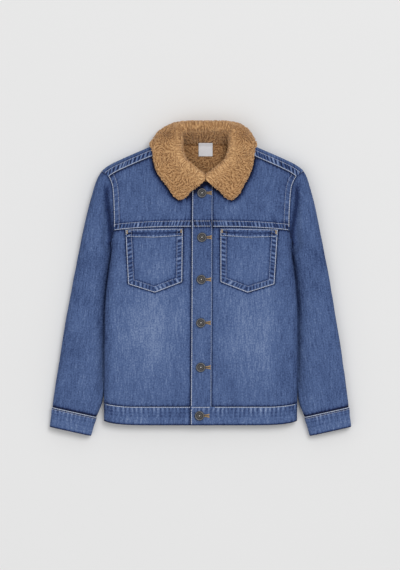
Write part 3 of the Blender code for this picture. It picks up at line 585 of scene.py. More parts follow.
# Each seam below also sets how dark its painted shade lines are.
CHEST_FELL = FelledSeam(near_row=1.0, far_row=10.2, pitch=6.1, contrast=2.9, tail=1.5, ditch_shade=2.3)
WAIST_FELL = FelledSeam(
    near_row=1.0, far_row=9.6, pitch=7.8, contrast=1.8, ditch_shade=1.5, slant=0.05, groove_shade=0.2, tail=1.4
)
CUFF_FELL = FelledSeam(
    near_row=1.0, far_row=9.0, pitch=7.6, contrast=1.5, ditch_shade=1.2, slant=0.0, groove_shade=0.2, tail=1.5
)
ARM_FELL = FelledSeam(
    near_row=1.3, far_row=9.4, pitch=8.6, pucker=0.3, height=0.5, contrast=0.9, groove_shade=0.4
)
SHOULDER_FELL = FelledSeam(
    near_row=1.1, far_row=10.5, pitch=6.6, pucker=0.5, slant=0.8, contrast=3.9, ditch_shade=3.0, edge=1.2
)
POCKET_FELL = FelledSeam(
    near_row=1.1, far_row=10.2, pitch=7.2, height=0.0, pucker=0.45, contrast=2.6, groove_shade=0.8, ditch_shade=2.5,
    ditch_shade_width=1.2,
)
BAND_FELL = FelledSeam(
    near_row=1.4, far_row=5.0, pitch=8.6, height=0.0, pucker=0.2, contrast=0.3, groove_shade=0.0, tail=0.2
)
FREE_EDGE = FelledSeam(pitch=8.6, pucker=0.1, contrast=0.3, ditch_shade=3.2, ditch_shade_width=1.5)
SEWN_EDGE = FelledSeam(pitch=8.6, pucker=0.1, contrast=0.3, ditch_shade=1.9, ditch_shade_width=1.2)
COLLAR_SHADE = FelledSeam(pucker=0.0, contrast=0.0, ditch_shade=2.9, ditch_shade_width=3.4)
LIP_FELL = FelledSeam(near_row=1.3, far_row=4.5, pitch=7.6, height=0.0, pucker=0.4, contrast=1.5)
# Its negative edge number paints shade along the hem's turned lower edge.
HEM_FELL = FelledSeam(
    near_row=1.1, far_row=14.6, pitch=9.0, height=0.0, pucker=0.35, contrast=0.4, groove_shade=0.2, edge=-1.7,
    edge_width=2.4,
)


def chest_seam(x: Array) -> Array:
    """The chest seam's y, which drops towards the armhole with the cube of x."""
    return 92.8 - 6.2 * (np.abs(x) / 156.0) ** 3


def waist_seam(x: Array) -> Array:
    """The waist seam's y, which rises near the side with the square of x."""
    return -230.4 + 6.0 * np.clip((np.abs(x) - 120) / 54, 0, 1) ** 2


def hem_edge(x: Array) -> Array:
    """The hem's y, which turns up at the side with the eighth power of x."""
    return -264.2 + 7.5 * (np.abs(x) / 173.7) ** 8


def armhole_corner() -> float:
    """The length down the armhole at which the chest seam meets it."""
    return ARMHOLE.length_where(1, float(chest_seam(np.array(156.0))))


def patch(inner: Array, outer: Array, bottom: Array, top: Array) -> Array:
    """A grid of plan points between four edges: the two ruled surfaces between opposite edges, added,
    less the bilinear one through the corners. Rows run up and columns run out.

    Args:
        inner: The left edge, going up.
        outer: The right edge, going up.
        bottom: The lower edge, going out.
        top: The upper edge, going out.

    Returns:
        The grid.
    """
    across = plan_lengths(bottom)
    u = (across / across[-1])[None, :, None]
    up = plan_lengths(outer)
    v = (up / up[-1])[:, None, None]
    ruled = (1 - v) * bottom[None] + v * top[None] + (1 - u) * inner[:, None] + u * outer[:, None]
    corners = (1 - v) * ((1 - u) * bottom[0] + u * bottom[-1])
    return ruled - corners - v * ((1 - u) * top[0] + u * top[-1])


def grid_normals(grid: Array, closed: bool = False) -> Array:
    """The unit normals of a grid: the cross product of its steps along columns and along rows.

    Args:
        grid: Points in rows and columns.
        closed: Whether the columns join up round a ring.

    Returns:
        A normal for each point.
    """
    if closed:
        across = np.roll(grid, -1, axis=1) - np.roll(grid, 1, axis=1)
    else:
        across = np.gradient(grid, axis=1)
    normals = np.cross(across, np.gradient(grid, axis=0))
    return normals / np.clip(np.linalg.norm(normals, axis=-1, keepdims=True), 1e-9, None)


def mirrored(points: Array, side: Side) -> Array:
    """Half-jacket points put on their side."""
    return points * np.array([float(side.value), 1.0, 1.0])


@dataclass(frozen=True)
class BodyForm:
    """The flat body that every panel lies on: two layers that meet at the side and shoulder folds."""

    cloth: float = 1.4
    side_gap: float = 0.8
    layer_gap: float = 0.3
    side_round: float = 16.0
    shoulder_round: float = 17.0
    neck_shift: float = 9.4
    neck_x: Pair = (58.0, 104.0)
    neck_y: Pair = (164.0, 190.0)

    def fullness(self, plan: Array) -> Array:
        """How much of its thickness the body has: the product of two quarter ellipses, up from the side
        fold and from the shoulder fold."""
        side = rounded(BODY.read("half_width", plan[..., 1]) - np.abs(plan[..., 0]), self.side_round)
        return side * rounded(SHOULDER.nearest(plan)[0], self.shoulder_round)

    def height(self, plan: Array, face: Face) -> Array:
        """The height of a layer: half the thickness, up or down by that half times the fullness."""
        middle = BODY.read("thickness", plan[..., 1]) / 2
        return middle * (1 + face.value * self.fullness(plan))

    def leaned(self, points: Array, collar: bool = False) -> Array:
        """The points moved sideways by how the jacket lies: its upper part leans to the wearer's left,
        and its neck and collar lean further.

        Args:
            points: Points in the jacket's frame.
            collar: Whether they belong to the collar or the neck, which move whole.

        Returns:
            The moved points.
        """
        keys, shifts = np.array(LEAN).T
        shift = read_between(keys, shifts, points[..., 1])
        near = 1 - ease(np.abs(points[..., 0]), *self.neck_x)
        if not collar:
            near = near * ease(points[..., 1], *self.neck_y)
        moved = points.copy()
        moved[..., 0] += shift + (self.neck_shift - shift) * near
        return moved


FORM = BodyForm()


class Signal:
    """A shader socket or a number in an expression. Arithmetic on it adds Math nodes."""

    def __init__(self, nodes: "Nodes", source: "bpy.types.NodeSocket | float") -> None:
        """Keeps the node tree and the socket."""
        self.nodes = nodes
        self.source = source

    def _math(self, operation: str, first: object, second: object) -> "Signal":
        """One Math node."""
        return self.nodes.add("ShaderNodeMath", {"operation": operation}, {0: first, 1: second})

    def __add__(self, other: object) -> "Signal":
        """self + other."""
        return self._math("ADD", self, other)

    __radd__ = __add__

    def __mul__(self, other: object) -> "Signal":
        """self * other."""
        return self._math("MULTIPLY", self, other)

    __rmul__ = __mul__

    def __sub__(self, other: object) -> "Signal":
        """self - other."""
        return self._math("SUBTRACT", self, other)

    def __rsub__(self, other: object) -> "Signal":
        """other - self."""
        return self._math("SUBTRACT", other, self)

    def sine(self) -> "Signal":
        """The sine of self."""
        return self._math("SINE", self, 0.0)

    def clamped(self) -> "Signal":
        """self held between 0 and 1."""
        return self.nodes.add("ShaderNodeClamp", {}, {"Value": self})


class Nodes:
    """Builds one material's node tree."""

    def __init__(self, name: str) -> None:
        """Starts a material with a Principled shader."""
        self.material = bpy.data.materials.new(name)
        self.material.use_nodes = True
        self.tree = self.material.node_tree
        self.shader = self.tree.nodes["Principled BSDF"]

    def add(
        self,
        kind: str,
        settings: dict[str, object] | None = None,
        inputs: dict[int | str, object] | None = None,
        output: int | str = 0,
    ) -> Signal:
        """Adds a node.

        Args:
            kind: The node's type.
            settings: Its properties, set first. "stops" gives a ramp's places and colours.
            inputs: Values or signals for its sockets.
            output: The socket to return.

        Returns:
            The output as a signal.
        """
        node = self.tree.nodes.new(kind)
        for key, value in (settings or {}).items():
            if key == "stops":
                self._set_stops(node.color_ramp, value)
            else:
                setattr(node, key, value)
        for key, value in (inputs or {}).items():
            self.set(node.inputs[key], value)
        return Signal(self, node.outputs[output])

    @staticmethod
    def _set_stops(ramp: bpy.types.ColorRamp, stops: Sequence[tuple[float, "Colour"]]) -> None:
        """Puts the stops into a colour ramp."""
        while len(ramp.elements) < len(stops):
            ramp.elements.new(1.0)
        for element, (place, colour) in zip(ramp.elements, stops):
            element.position = place
            element.color = (*colour.linear, 1.0)

    def set(self, socket: bpy.types.NodeSocket, value: object) -> None:
        """Links a signal to a socket, or sets its value."""
        if isinstance(value, Signal):
            if isinstance(value.source, bpy.types.NodeSocket):
                self.tree.links.new(value.source, socket)
                return
            value = value.source
        socket.default_value = value

    def finish(self, **sockets: object) -> bpy.types.Material:
        """Feeds the shader's sockets, named with underscores for spaces.

        Args:
            **sockets: A value or a signal for each.

        Returns:
            The material.
        """
        for name, value in sockets.items():
            self.set(self.shader.inputs[name.replace("_", " ")], value)
        return self.material

    def attribute(self, name: str, output: str = "Fac") -> Signal:
        """A value that the mesh carries."""
        return self.add("ShaderNodeAttribute", {"attribute_name": name}, output=output)

    def place(self) -> Signal:
        """The point's place on its object."""
        return self.add("ShaderNodeTexCoord", {}, {}, "Object")

    def across_along(self, place: Signal) -> tuple[Signal, Signal]:
        """The first two parts of a place."""
        outputs = self.add("ShaderNodeSeparateXYZ", {}, {0: place}).source.node.outputs
        return Signal(self, outputs[0]), Signal(self, outputs[1])

    def noise(self, place: Signal, stretch: tuple[float, float, float], detail: float) -> Signal:
        """Noise from 0 to 1 on a place in metres, with so many blotches a metre along each axis."""
        scaled = self.add("ShaderNodeVectorMath", {"operation": "MULTIPLY"}, {0: place, 1: stretch})
        inputs = {"Vector": scaled, "Scale": 1.0, "Detail": detail}
        return self.add("ShaderNodeTexNoise", {}, inputs)

    def ramp(self, value: Signal, stops: Sequence[tuple[float, "Colour"]]) -> Signal:
        """Colours for values from 0 to 1."""
        return self.add("ShaderNodeValToRGB", {"stops": stops}, {"Fac": value})

    def bump(self, height: Signal, distance: float, strength: float = 1.0) -> Signal:
        """A normal from a height."""
        inputs = {"Height": height, "Distance": distance, "Strength": strength}
        return self.add("ShaderNodeBump", {}, inputs)


@dataclass(frozen=True)
class Colour:
    """A colour as a screen shows it, each channel from 0 to 255."""

    red: float
    green: float
    blue: float

    @property
    def linear(self) -> tuple[float, float, float]:
        """The channels as the renderer takes them."""
        channels = [c / 255 for c in (self.red, self.green, self.blue)]
        bent = [c / 12.92 if c <= 0.04045 else ((c + 0.055) / 1.055) ** 2.4 for c in channels]
        return bent[0], bent[1], bent[2]


@dataclass(frozen=True)
class Denim:
    """Washed blue twill. The mesh carries its place on the cloth, and how faded it is with painted shade
    added.
    """

    name: str = "washed_denim"
    twill: float = 0.0011
    steepness: float = 0.7
    depth: float = 0.00022

    def material(self) -> bpy.types.Material:
        """Diagonal twill ribs, uneven warp threads, soft mottling, fading that pales the blue, and painted
        shade that darkens it.
        """
        nodes = Nodes(self.name)
        place = nodes.attribute("cloth", "Vector")
        faded_and_shaded = nodes.attribute("wear_and_shade")
        across, along = nodes.across_along(place)
        rib = ((across + along * self.steepness) * (2 * math.pi / self.twill)).sine()
        warp = nodes.noise(place, (900.0, 60.0, 1.0), 2.0)
        slub = nodes.noise(place, (260.0, 34.0, 1.0), 2.0)
        grain = nodes.noise(place, (430.0, 330.0, 1.0), 3.0)
        mottle = nodes.noise(place, (30.0, 22.0, 1.0), 2.0)
        # The mesh's value pales the faded cloth and darkens it where shade is painted.
        value = 0.5 + faded_and_shaded * 0.25
        value = value + (warp - 0.5) * 0.34 + (slub - 0.5) * 0.22 + (grain - 0.5) * 0.46
        value = value + (mottle - 0.5) * 0.08 + rib * 0.018
        stops = (
            (0.0, Colour(14, 20, 46)),
            (0.25, Colour(36, 52, 92)),
            (0.5, Colour(80, 101, 144)),
            (0.75, Colour(134, 151, 184)),
            (1.0, Colour(206, 212, 224)),
        )
        relief = rib * 0.4 + warp * 1.2 + grain * 0.8
        return nodes.finish(
            Base_Color=nodes.ramp(value.clamped(), stops),
            Roughness=0.92,
            Specular_IOR_Level=0.18,
            Normal=nodes.bump(relief, self.depth, 0.55),
        )


@dataclass(frozen=True)
class Fleece:
    """Curly tan pile. The mesh carries each lock's tone, with painted shade in the clefts, at the curls' ends
    and on the back fold, and painted highlight by the fold and on the stand.
    """

    name: str = "tan_fleece"
    shade: float = 0.0

    def material(self) -> bpy.types.Material:
        """Brown where the tone is low and pale where it is high, mottled, with a soft sheen."""
        nodes = Nodes(self.name)
        place = nodes.place()
        tone = nodes.attribute("tone")
        mottle = nodes.noise(place, (70.0, 70.0, 70.0), 2.0)
        curl = nodes.noise(place, (620.0, 620.0, 620.0), 3.0)
        value = tone + (mottle - 0.5) * 0.12 + (curl - 0.5) * 0.2 + self.shade
        stops = (
            (0.0, Colour(92, 61, 34)),
            (0.35, Colour(142, 103, 66)),
            (0.65, Colour(184, 142, 98)),
            (1.0, Colour(214, 174, 126)),
        )
        return nodes.finish(
            Base_Color=nodes.ramp(value.clamped(), stops),
            Roughness=0.95,
            Specular_IOR_Level=0.1,
            Sheen_Weight=0.25,
            Sheen_Roughness=0.5,
            Normal=nodes.bump(curl, 0.0005, 0.6),
        )


@dataclass(frozen=True)
class Thread:
    """Sewing thread of one colour, with its twist."""

    name: str
    colour: Colour
    dark: Colour

    def material(self) -> bpy.types.Material:
        """Fine mottling between two shades."""
        nodes = Nodes(self.name)
        place = nodes.place()
        wander = nodes.noise(place, (160.0, 160.0, 160.0), 2.0)
        twist = nodes.noise(place, (2400.0, 2400.0, 2400.0), 1.0)
        value = (wander - 0.5) * 1.1 + (twist - 0.5) * 0.5 + 0.55
        return nodes.finish(
            Base_Color=nodes.ramp(value.clamped(), ((0.0, self.dark), (1.0, self.colour))),
            Roughness=0.8,
            Specular_IOR_Level=0.2,
            Normal=nodes.bump(twist, 0.0001, 0.5),
        )


@dataclass(frozen=True)
class AntiqueMetal:
    """Dark cast metal, rubbed bright where it stands out."""

    name: str = "antique_metal"

    def material(self) -> bpy.types.Material:
        """Brown-grey metal whose high rings are paler and smoother."""
        nodes = Nodes(self.name)
        place = nodes.place()
        tone_change = nodes.attribute("tone")
        cast = nodes.noise(place, (900.0, 900.0, 900.0), 3.0)
        value = (tone_change + (cast - 0.5) * 0.5).clamped()
        stops = (
            (0.0, Colour(38, 37, 39)),
            (0.6, Colour(92, 91, 92)),
            (1.0, Colour(168, 167, 168)),
        )
        return nodes.finish(
            Base_Color=nodes.ramp(value, stops),
            Metallic=0.75,
            Roughness=0.62 - value * 0.25,
            Normal=nodes.bump(cast, 0.00015, 0.5),
        )


@dataclass(frozen=True)
class LabelTape:
    """White woven tape, left blank."""

    name: str = "label_tape"

    def material(self) -> bpy.types.Material:
        """A plain weave of fine crossed ribs on off-white."""
        nodes = Nodes(self.name)
        place = nodes.place()
        across, along = nodes.across_along(place)
        weave = (across * 9000.0).sine() * (along * 9000.0).sine()
        soil = nodes.noise(place, (120.0, 120.0, 120.0), 3.0)
        value = (0.6 + weave * 0.12 + (soil - 0.5) * 0.5).clamped()
        stops = ((0.0, Colour(198, 198, 202)), (1.0, Colour(220, 219, 222)))
        return nodes.finish(
            Base_Color=nodes.ramp(value, stops),
            Roughness=0.7,
            Normal=nodes.bump(weave, 0.0001, 0.4),
        )


@dataclass(frozen=True)
class Paper:
    """The pale studio floor."""

    name: str = "studio_paper"
    colour: Colour = Colour(226, 226, 226)

    def material(self) -> bpy.types.Material:
        """One matt colour with the faintest grain."""
        nodes = Nodes(self.name)
        place = nodes.place()
        grain = nodes.noise(place, (9.0, 9.0, 9.0), 2.0)
        lighter = Colour(self.colour.red + 1, self.colour.green + 1, self.colour.blue + 1)
        return nodes.finish(
            Base_Color=nodes.ramp(grain, ((0.0, self.colour), (1.0, lighter))),
            Roughness=1.0,
            Specular_IOR_Level=0.0,
        )


@dataclass
class MeshData:
    """Points in millimetres, faces of one size, and what each point carries."""

    points: Array
    faces: NDArray[np.int64]
    values: dict[str, Array] = field(default_factory=dict)

    def volume(self) -> float:
        """Six times the signed volume, which is negative when the faces point inwards."""
        a, b, c = (self.points[self.faces[:, i]] for i in range(3))
        total = np.einsum("ij,ij->i", a, np.cross(b, c)).sum()
        if self.faces.shape[1] == 4:
            d = self.points[self.faces[:, 3]]
            total += np.einsum("ij,ij->i", a, np.cross(c, d)).sum()
        return float(total)

    def to_object(self, name: str, material: bpy.types.Material, sharp: float = 40.0) -> bpy.types.Object:
        """Puts the arrays into a mesh whose faces point outwards.

        Args:
            name: The piece's name.
            material: Its finish.
            sharp: The angle in degrees past which an edge stays sharp.

        Returns:
            The new object.
        """
        faces = self.faces if self.volume() > 0 else self.faces[:, ::-1]
        corners = faces.shape[1]
        mesh = bpy.data.meshes.new(name)
        mesh.vertices.add(len(self.points))
        mesh.vertices.foreach_set("co", (self.points * MM).astype(np.float32).ravel())
        mesh.loops.add(faces.size)
        mesh.loops.foreach_set("vertex_index", faces.astype(np.int32).ravel())
        mesh.polygons.add(len(faces))
        mesh.polygons.foreach_set("loop_start", np.arange(0, faces.size, corners, dtype=np.int32))
        for label, values in self.values.items():
            kind, slot = ("FLOAT", "value") if values.ndim == 1 else ("FLOAT_VECTOR", "vector")
            layer = mesh.attributes.new(label, kind, "POINT")
            layer.data.foreach_set(slot, values.astype(np.float32).ravel())
        mesh.update(calc_edges=True)
        mesh.validate()
        mesh.materials.append(material)
        mesh.shade_smooth()
        mesh.set_sharp_from_angle(angle=math.radians(sharp))
        made = bpy.data.objects.new(name, mesh)
        bpy.context.scene.collection.objects.link(made)
        return made


def joined(parts: Sequence[MeshData]) -> MeshData:
    """Several meshes of the same kind of face as one."""
    starts = np.cumsum([0] + [len(part.points) for part in parts[:-1]])
    return MeshData(
        np.concatenate([part.points for part in parts]),
        np.concatenate([part.faces + start for part, start in zip(parts, starts)]),
        {key: np.concatenate([part.values[key] for part in parts]) for key in parts[0].values},
    )


@dataclass
class Layer:
    """One grid of a wall: its outer and inner points, its place on the cloth, and its tone: how faded it is,
    with painted shade added.
    """

    outer: Array
    inner: Array
    wear_and_shade: Array
    cloth: Array | None = None
    # The tone of the cloth's inside: on denim a painted shade, darker than the outside.
    inner_tone: float = -0.6

    def place(self) -> Array:
        """Where each point lies on the flat cloth, in millimetres: its plan place unless given."""
        return self.outer[..., :2] if self.cloth is None else self.cloth


def wall(layers: Sequence[Layer], closed: bool = False, value: str = "wear_and_shade") -> MeshData:
    """A closed wall of cloth. The grids' outer points are welded where they agree to a hundredth of a
    millimetre, the inner ones follow them, and edges that only one face uses get a rim.

    Args:
        layers: The grids.
        closed: Whether their columns join up round a ring.
        value: The name under which the tone, with its painted shade, is carried.

    Returns:
        The mesh, all of four-cornered faces.
    """
    outer = np.concatenate([layer.outer.reshape(-1, 3) for layer in layers])
    inner = np.concatenate([layer.inner.reshape(-1, 3) for layer in layers])
    wear_and_shade = np.concatenate([np.broadcast_to(la.wear_and_shade, la.outer.shape[:2]).ravel() for la in layers])
    inner_tone = np.concatenate([np.full(la.outer[..., 0].size, la.inner_tone) for la in layers])
    place = np.concatenate([layer.place().reshape(-1, 2) for layer in layers])
    _, first, index = np.unique(np.round(outer, 2), axis=0, return_index=True, return_inverse=True)
    index = index.reshape(-1)
    faces = []
    start = 0
    for layer in layers:
        rows, columns = layer.outer.shape[:2]
        at = index[start : start + rows * columns].reshape(rows, columns)
        start += rows * columns
        if closed:
            at = np.concatenate([at, at[:, :1]], axis=1)
        quads = np.stack([at[:-1, :-1], at[:-1, 1:], at[1:, 1:], at[1:, :-1]], axis=-1)
        faces.append(quads.reshape(-1, 4))
    quads = np.concatenate(faces)
    count = len(first)
    edges = np.concatenate([np.stack([quads[:, i], quads[:, (i + 1) % 4]], axis=1) for i in range(4)])
    keys = edges[:, 0] * count + edges[:, 1]
    lone = edges[~np.isin(keys, edges[:, 1] * count + edges[:, 0])]
    rim = np.stack([lone[:, 1], lone[:, 0], lone[:, 0] + count, lone[:, 1] + count], axis=1)
    points = np.concatenate([outer[first], inner[first]])
    cloth = np.concatenate([place[first], place[first]]) * MM
    values = {
        value: np.concatenate([wear_and_shade[first], inner_tone[first]]),
        "cloth": np.concatenate([cloth, np.zeros((len(cloth), 1))], axis=1),
    }
    return MeshData(points, np.concatenate([quads, quads[:, ::-1] + count, rim]), values)


def tubes(paths: Array, radii: Array, normals: Array, tones: Array, sides: int = 4) -> MeshData:
    """Many short closed tubes: rings of points round each path, at its radius, in the plane across it.

    Args:
        paths: Each tube's centre line, tubes by points by 3.
        radii: The radius at each point of each path.
        normals: A direction for each tube that isn't along its path.
        tones: The value that each point of each path carries as "tone".
        sides: Points round a ring; 4, so that the caps have four corners too.

    Returns:
        The mesh, all of four-cornered faces.
    """
    count, length = paths.shape[:2]
    ahead = np.gradient(paths, axis=1)
    ahead /= np.clip(np.linalg.norm(ahead, axis=-1, keepdims=True), 1e-9, None)
    across = np.cross(ahead, normals[:, None])
    across /= np.clip(np.linalg.norm(across, axis=-1, keepdims=True), 1e-9, None)
    over = np.cross(ahead, across)
    angle = (np.arange(sides) + 0.5) * 2 * math.pi / sides
    ring = across[:, :, None] * np.cos(angle)[:, None] + over[:, :, None] * np.sin(angle)[:, None]
    points = paths[:, :, None] + ring * radii[:, :, None, None]
    index = np.arange(count * length * sides).reshape(count, length, sides)
    turned = np.roll(index, -1, axis=2)
    body = np.stack([index[:, :-1], turned[:, :-1], turned[:, 1:], index[:, 1:]], axis=-1)
    caps = np.concatenate([index[:, 0, ::-1], index[:, -1]])
    tone = np.broadcast_to(tones[:, :, None], index.shape)
    faces = np.concatenate([body.reshape(-1, 4), caps])
    return MeshData(points.reshape(-1, 3), faces, {"tone": tone.ravel().astype(float)})


@dataclass(frozen=True)
class Declared:
    width: float
    length: float
    share: float = 1.0
    rests_on: tuple[str, ...] = ()
    carries: tuple[str, ...] = ()
    held: str = "laid"


class Workshop:
    """Keeps the finishes, and turns meshes into pieces that stand for the solids."""

    def __init__(self) -> None:
        """Makes each material once."""
        self.denim = Denim().material()
        self.fleece = Fleece().material()
        # A darker copy of the fleece: painted shade for the lining and its curls inside the neck.
        self.fleece_shaded = Fleece("tan_fleece_shaded", shade=-0.1).material()
        self.metal = AntiqueMetal().material()
        self.label = LabelTape().material()
        self.thread = Thread("pale_thread", Colour(214, 217, 224), Colour(150, 160, 182)).material()
        self.ochre = Thread("ochre_thread", Colour(180, 152, 112), Colour(118, 97, 72)).material()
        self.tan = Thread("tan_thread", Colour(178, 160, 136), Colour(112, 100, 88)).material()
        # A near-black thread laid along each buttonhole's slit as its painted shadow.
        self.dark = Thread("slit_shadow", Colour(30, 34, 52), Colour(14, 17, 30)).material()
        self.triangles = 0

    def piece(
        self,
        name: str,
        data: MeshData,
        material: bpy.types.Material,
        slot: str,
        replaces: Sequence[str] = (),
        sheet: Declared | None = None,
        collar: bool = False,
    ) -> bpy.types.Object:
        """Args:
            name: The piece's name.
            data: Its mesh, in the jacket's frame.
            material: Its finish.
            slot: Not used.
            replaces: The solids that it stands for.
            sheet: Not used.
            collar: Whether it leans with the collar.

        Returns:
            The piece.
        """
        data.points = FORM.leaned(data.points, collar)
        low = data.points[:, 2] < RESTING
        data.points[low, 2] = RESTING + (data.points[low, 2] - RESTING) * PRESSED
        made = data.to_object(f"{name}_finished" if replaces else name, material)
        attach(made, "root")
        if replaces:
            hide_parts(*replaces)
        count = sum(len(p.vertices) - 2 for p in made.data.polygons)
        self.triangles += count
        LOG.info("%s: %d triangles", name, count)
        return made

    def cloth(
        self, name: str, layers: Sequence[Layer], cut: Declared, slot: str = "denim", closed: bool = False
    ) -> None:
        """A sheet of denim that stands for the solid of the same name.

        Args:
            name: The solid's name.
            layers: The grids of its wall.
            cut: Its cut.
            slot: The record's material slot.
            closed: Whether the grids' columns join up round a ring.
        """
        self.piece(name, wall(layers, closed), self.denim, slot, [name], cut)


@dataclass
class Stitching:
    """Rows of topstitching, gathered from all the pieces into one joined mesh."""

    pitch: float = 3.3
    length: float = 2.9
    radius: float = 0.55
    rows: list[MeshData] = field(default_factory=list)

    def sew(self, points: Array, normals: Array, weight: float = 1.0) -> None:
        """Sews along a line on the cloth. Each stitch is a short tube whose middle stands on the cloth
        and whose ends dive into it.

        Args:
            points: The line, on the cloth's surface.
            normals: The cloth's normal at each of its points.
            weight: How thick the thread shows.
        """
        reached = lengths_along(points)
        centres = np.arange(self.pitch / 2, reached[-1] - self.pitch / 2, self.pitch)
        if len(centres) == 0:
            return
        jitter = speckle(centres / 2.3, centres * 0, 9.0)
        offsets = np.array([-0.5, -0.2, 0.2, 0.5]) * self.length
        at = centres[:, None] + offsets + 0.25 * jitter[:, None]
        path = np.stack([np.interp(at, reached, points[:, i]) for i in range(3)], axis=-1)
        normal = np.stack([np.interp(centres, reached, normals[:, i]) for i in range(3)], axis=-1)
        radius = self.radius * weight
        stand = np.array([-0.4, 0.7, 0.7, -0.4]) * radius
        path = path + normal[:, None] * stand[None, :, None]
        radii = np.tile(np.array([0.55, 1.0, 1.0, 0.55]) * radius, (len(centres), 1))
        self.rows.append(tubes(path, radii, normal, np.full(path.shape[:2], 0.5)))

    def sew_bar(self, skin: "Skin", plan: Array) -> None:
        """One stitch between two plan points on a skin."""
        share = np.array([0.0, 0.25, 0.75, 1.0])[:, None]
        path = skin.points(plan[0] + (plan[1] - plan[0]) * share)
        path[:, 2] += np.array([-0.3, 0.9, 0.9, -0.3]) * self.radius
        path = mirrored(path, skin.side)[None]
        radii = np.array([[0.7, 1.0, 1.0, 0.7]]) * self.radius
        self.rows.append(tubes(path, radii, UP[None], np.full((1, 4), 0.5)))


def varied(rows: Rows, moves: tuple[float, ...], wider: float, deeper: float) -> Rows:
    """Creases with their ends moved and their sizes scaled, so that one side differs from the other."""
    return tuple((*np.add(row[:4], moves), row[4] * wider, row[5] * deeper) for row in rows)


def soft_creases(plan: Array, rows: Rows, seed: float) -> Array:
    """Listed creases: each is minus its depth times a bell of the distance from its line, which wanders with
    slow noise and fades at both ends. Slow noise lifts the cloth between them.

    Args:
        plan: Plan points.
        rows: The creases.
        seed: Picks how they wander.

    Returns:
        The lift in millimetres.
    """
    total = 0.55 * speckle(plan[..., 0] / 48, plan[..., 1] / 62, seed)
    total = total + 0.22 * speckle(plan[..., 0] / 17, plan[..., 1] / 23, seed + 1)
    for x0, y0, x1, y1, width, depth in rows:
        start, along = np.array([x0, y0]), np.array([x1 - x0, y1 - y0])
        size = math.hypot(*along)
        rel = plan - start
        t = (rel @ along) / size**2
        off = (rel[..., 0] * along[1] - rel[..., 1] * along[0]) / size
        off = off + 0.5 * width * speckle(t * 2.5, t * 0 + x0, seed)
        total = total - depth * hump(off, width) * ease(t, -0.15, 0.3) * (1 - ease(t, 0.7, 1.15))
    return total


class Role(Enum):
    """How a piece lies at a seam: on top with the folded edge, beside it, or over all of it."""

    TOP = "on_top"
    BESIDE = "beside"
    OVER = "through"


@dataclass(frozen=True)
class SeamUse:
    """One seam as it shapes one piece: how a plan point is measured from it, and how the piece lies
    there."""

    fell: FelledSeam
    measure: Measure
    seed: float
    role: Role = Role.TOP

    def relief(self, plan: Array) -> tuple[Array, Array]:
        """The seam's lift, and its fade with painted shade, at plan points."""
        d, s = self.measure(plan)
        shape = {Role.TOP: self.fell.on_top, Role.BESIDE: self.fell.beside, Role.OVER: self.fell.through}
        return shape[self.role](d, s, self.seed)


@dataclass(frozen=True)
class Skin:
    """The outside of a piece that lies flat: the body's height, the creases that every layer of that
    face shares, how far the piece lies above, and its own seams."""

    face: Face
    side: Side
    seams: tuple[SeamUse, ...] = ()
    above: float = 0.0
    tone: float = 0.0
    apart: float = 0.0
    glow: tuple[float, float, float, float, float] = (90.0, -40.0, 60.0, 110.0, 0.0)

    def relief(self, plan: Array) -> tuple[Array, Array]:
        """The lift in millimetres and the tone at half-jacket plan points. The middle of a panel is paler by
        a bell in x and y, painted shade darkens its folded side, and the creases take painted shade while
        their ridges fade paler."""
        seed, rows = 11.0, FRONT_CREASES
        if self.face is Face.BACK:
            seed, rows = 0.0, BACK_CREASES
        elif self.side is Side.RIGHT:
            seed, rows = 31.0, varied(FRONT_CREASES[::-1], (-6, -9, 5, 12), 1.1, 0.85)
        signed = plan * np.array([float(self.side.value), 1.0]) if self.face is Face.BACK else plan
        edge = BODY.read("half_width", plan[..., 1]) - np.abs(plan[..., 0])
        settled = ease(edge, 0, 14) * ease(SHOULDER.nearest(plan)[0], 14, 30)
        settled = settled * ease(plan[..., 0], 16, 34) if self.face is Face.FRONT else settled
        lift = soft_creases(signed, rows, seed) * settled
        x0, y0, wide, high, strength = self.glow
        wear_and_shade = self.tone + strength * hump(plan[..., 0] - x0, wide) * hump(plan[..., 1] - y0, high)
        # Painted shade on the folded side and in the creases; the ridges fade paler.
        wear_and_shade = wear_and_shade - 0.3 * (1 - ease(edge, 0, 20)) + 0.12 * lift
        wear_and_shade = wear_and_shade + 0.09 * speckle(signed[..., 0] / 15, signed[..., 1] / 42, seed + 3)
        # Each seam adds its faded ripples and its painted shadow lines.
        for seam in self.seams:
            more, tone_change = seam.relief(plan)
            lift, wear_and_shade = lift + more, wear_and_shade + tone_change
        return lift + self.apart * (1 - ease(edge, 0, 5)), wear_and_shade

    def points(self, plan: Array) -> Array:
        """The plan points raised, or lowered on the back, to the piece's outside."""
        lift, _ = self.relief(plan)
        height = FORM.height(plan, self.face) + self.face.value * (self.above + lift)
        return np.concatenate([plan, height[..., None]], axis=-1)

    def wall(self, plan: Array, thickness: float) -> Layer:
        """A grid of plan points as one grid of a wall.

        Args:
            plan: The grid.
            thickness: The cloth's.

        Returns:
            The layer, on its own side of the jacket.
        """
        outer = mirrored(self.points(plan), self.side)
        normals = grid_normals(outer)
        normals = normals * np.sign((normals[..., 2].mean()) * self.face.value)
        return Layer(outer, outer - thickness * normals, self.relief(plan)[1])

    def sew(self, stitching: Stitching, plan: Array, weight: float = 1.0) -> None:
        """Topstitches a plan line on this skin.

        Args:
            stitching: Where the stitches go.
            plan: The line, as plan points.
            weight: How thick the thread shows.
        """
        here = mirrored(self.points(plan), self.side)
        right = mirrored(self.points(plan + (0.6, 0.0)), self.side) - here
        ahead = mirrored(self.points(plan + (0.0, 0.6)), self.side) - here
        normals = np.cross(right, ahead)
        normals *= np.sign(normals[:, 2:]) * self.face.value
        stitching.sew(here, normals / np.linalg.norm(normals, axis=-1, keepdims=True), weight)


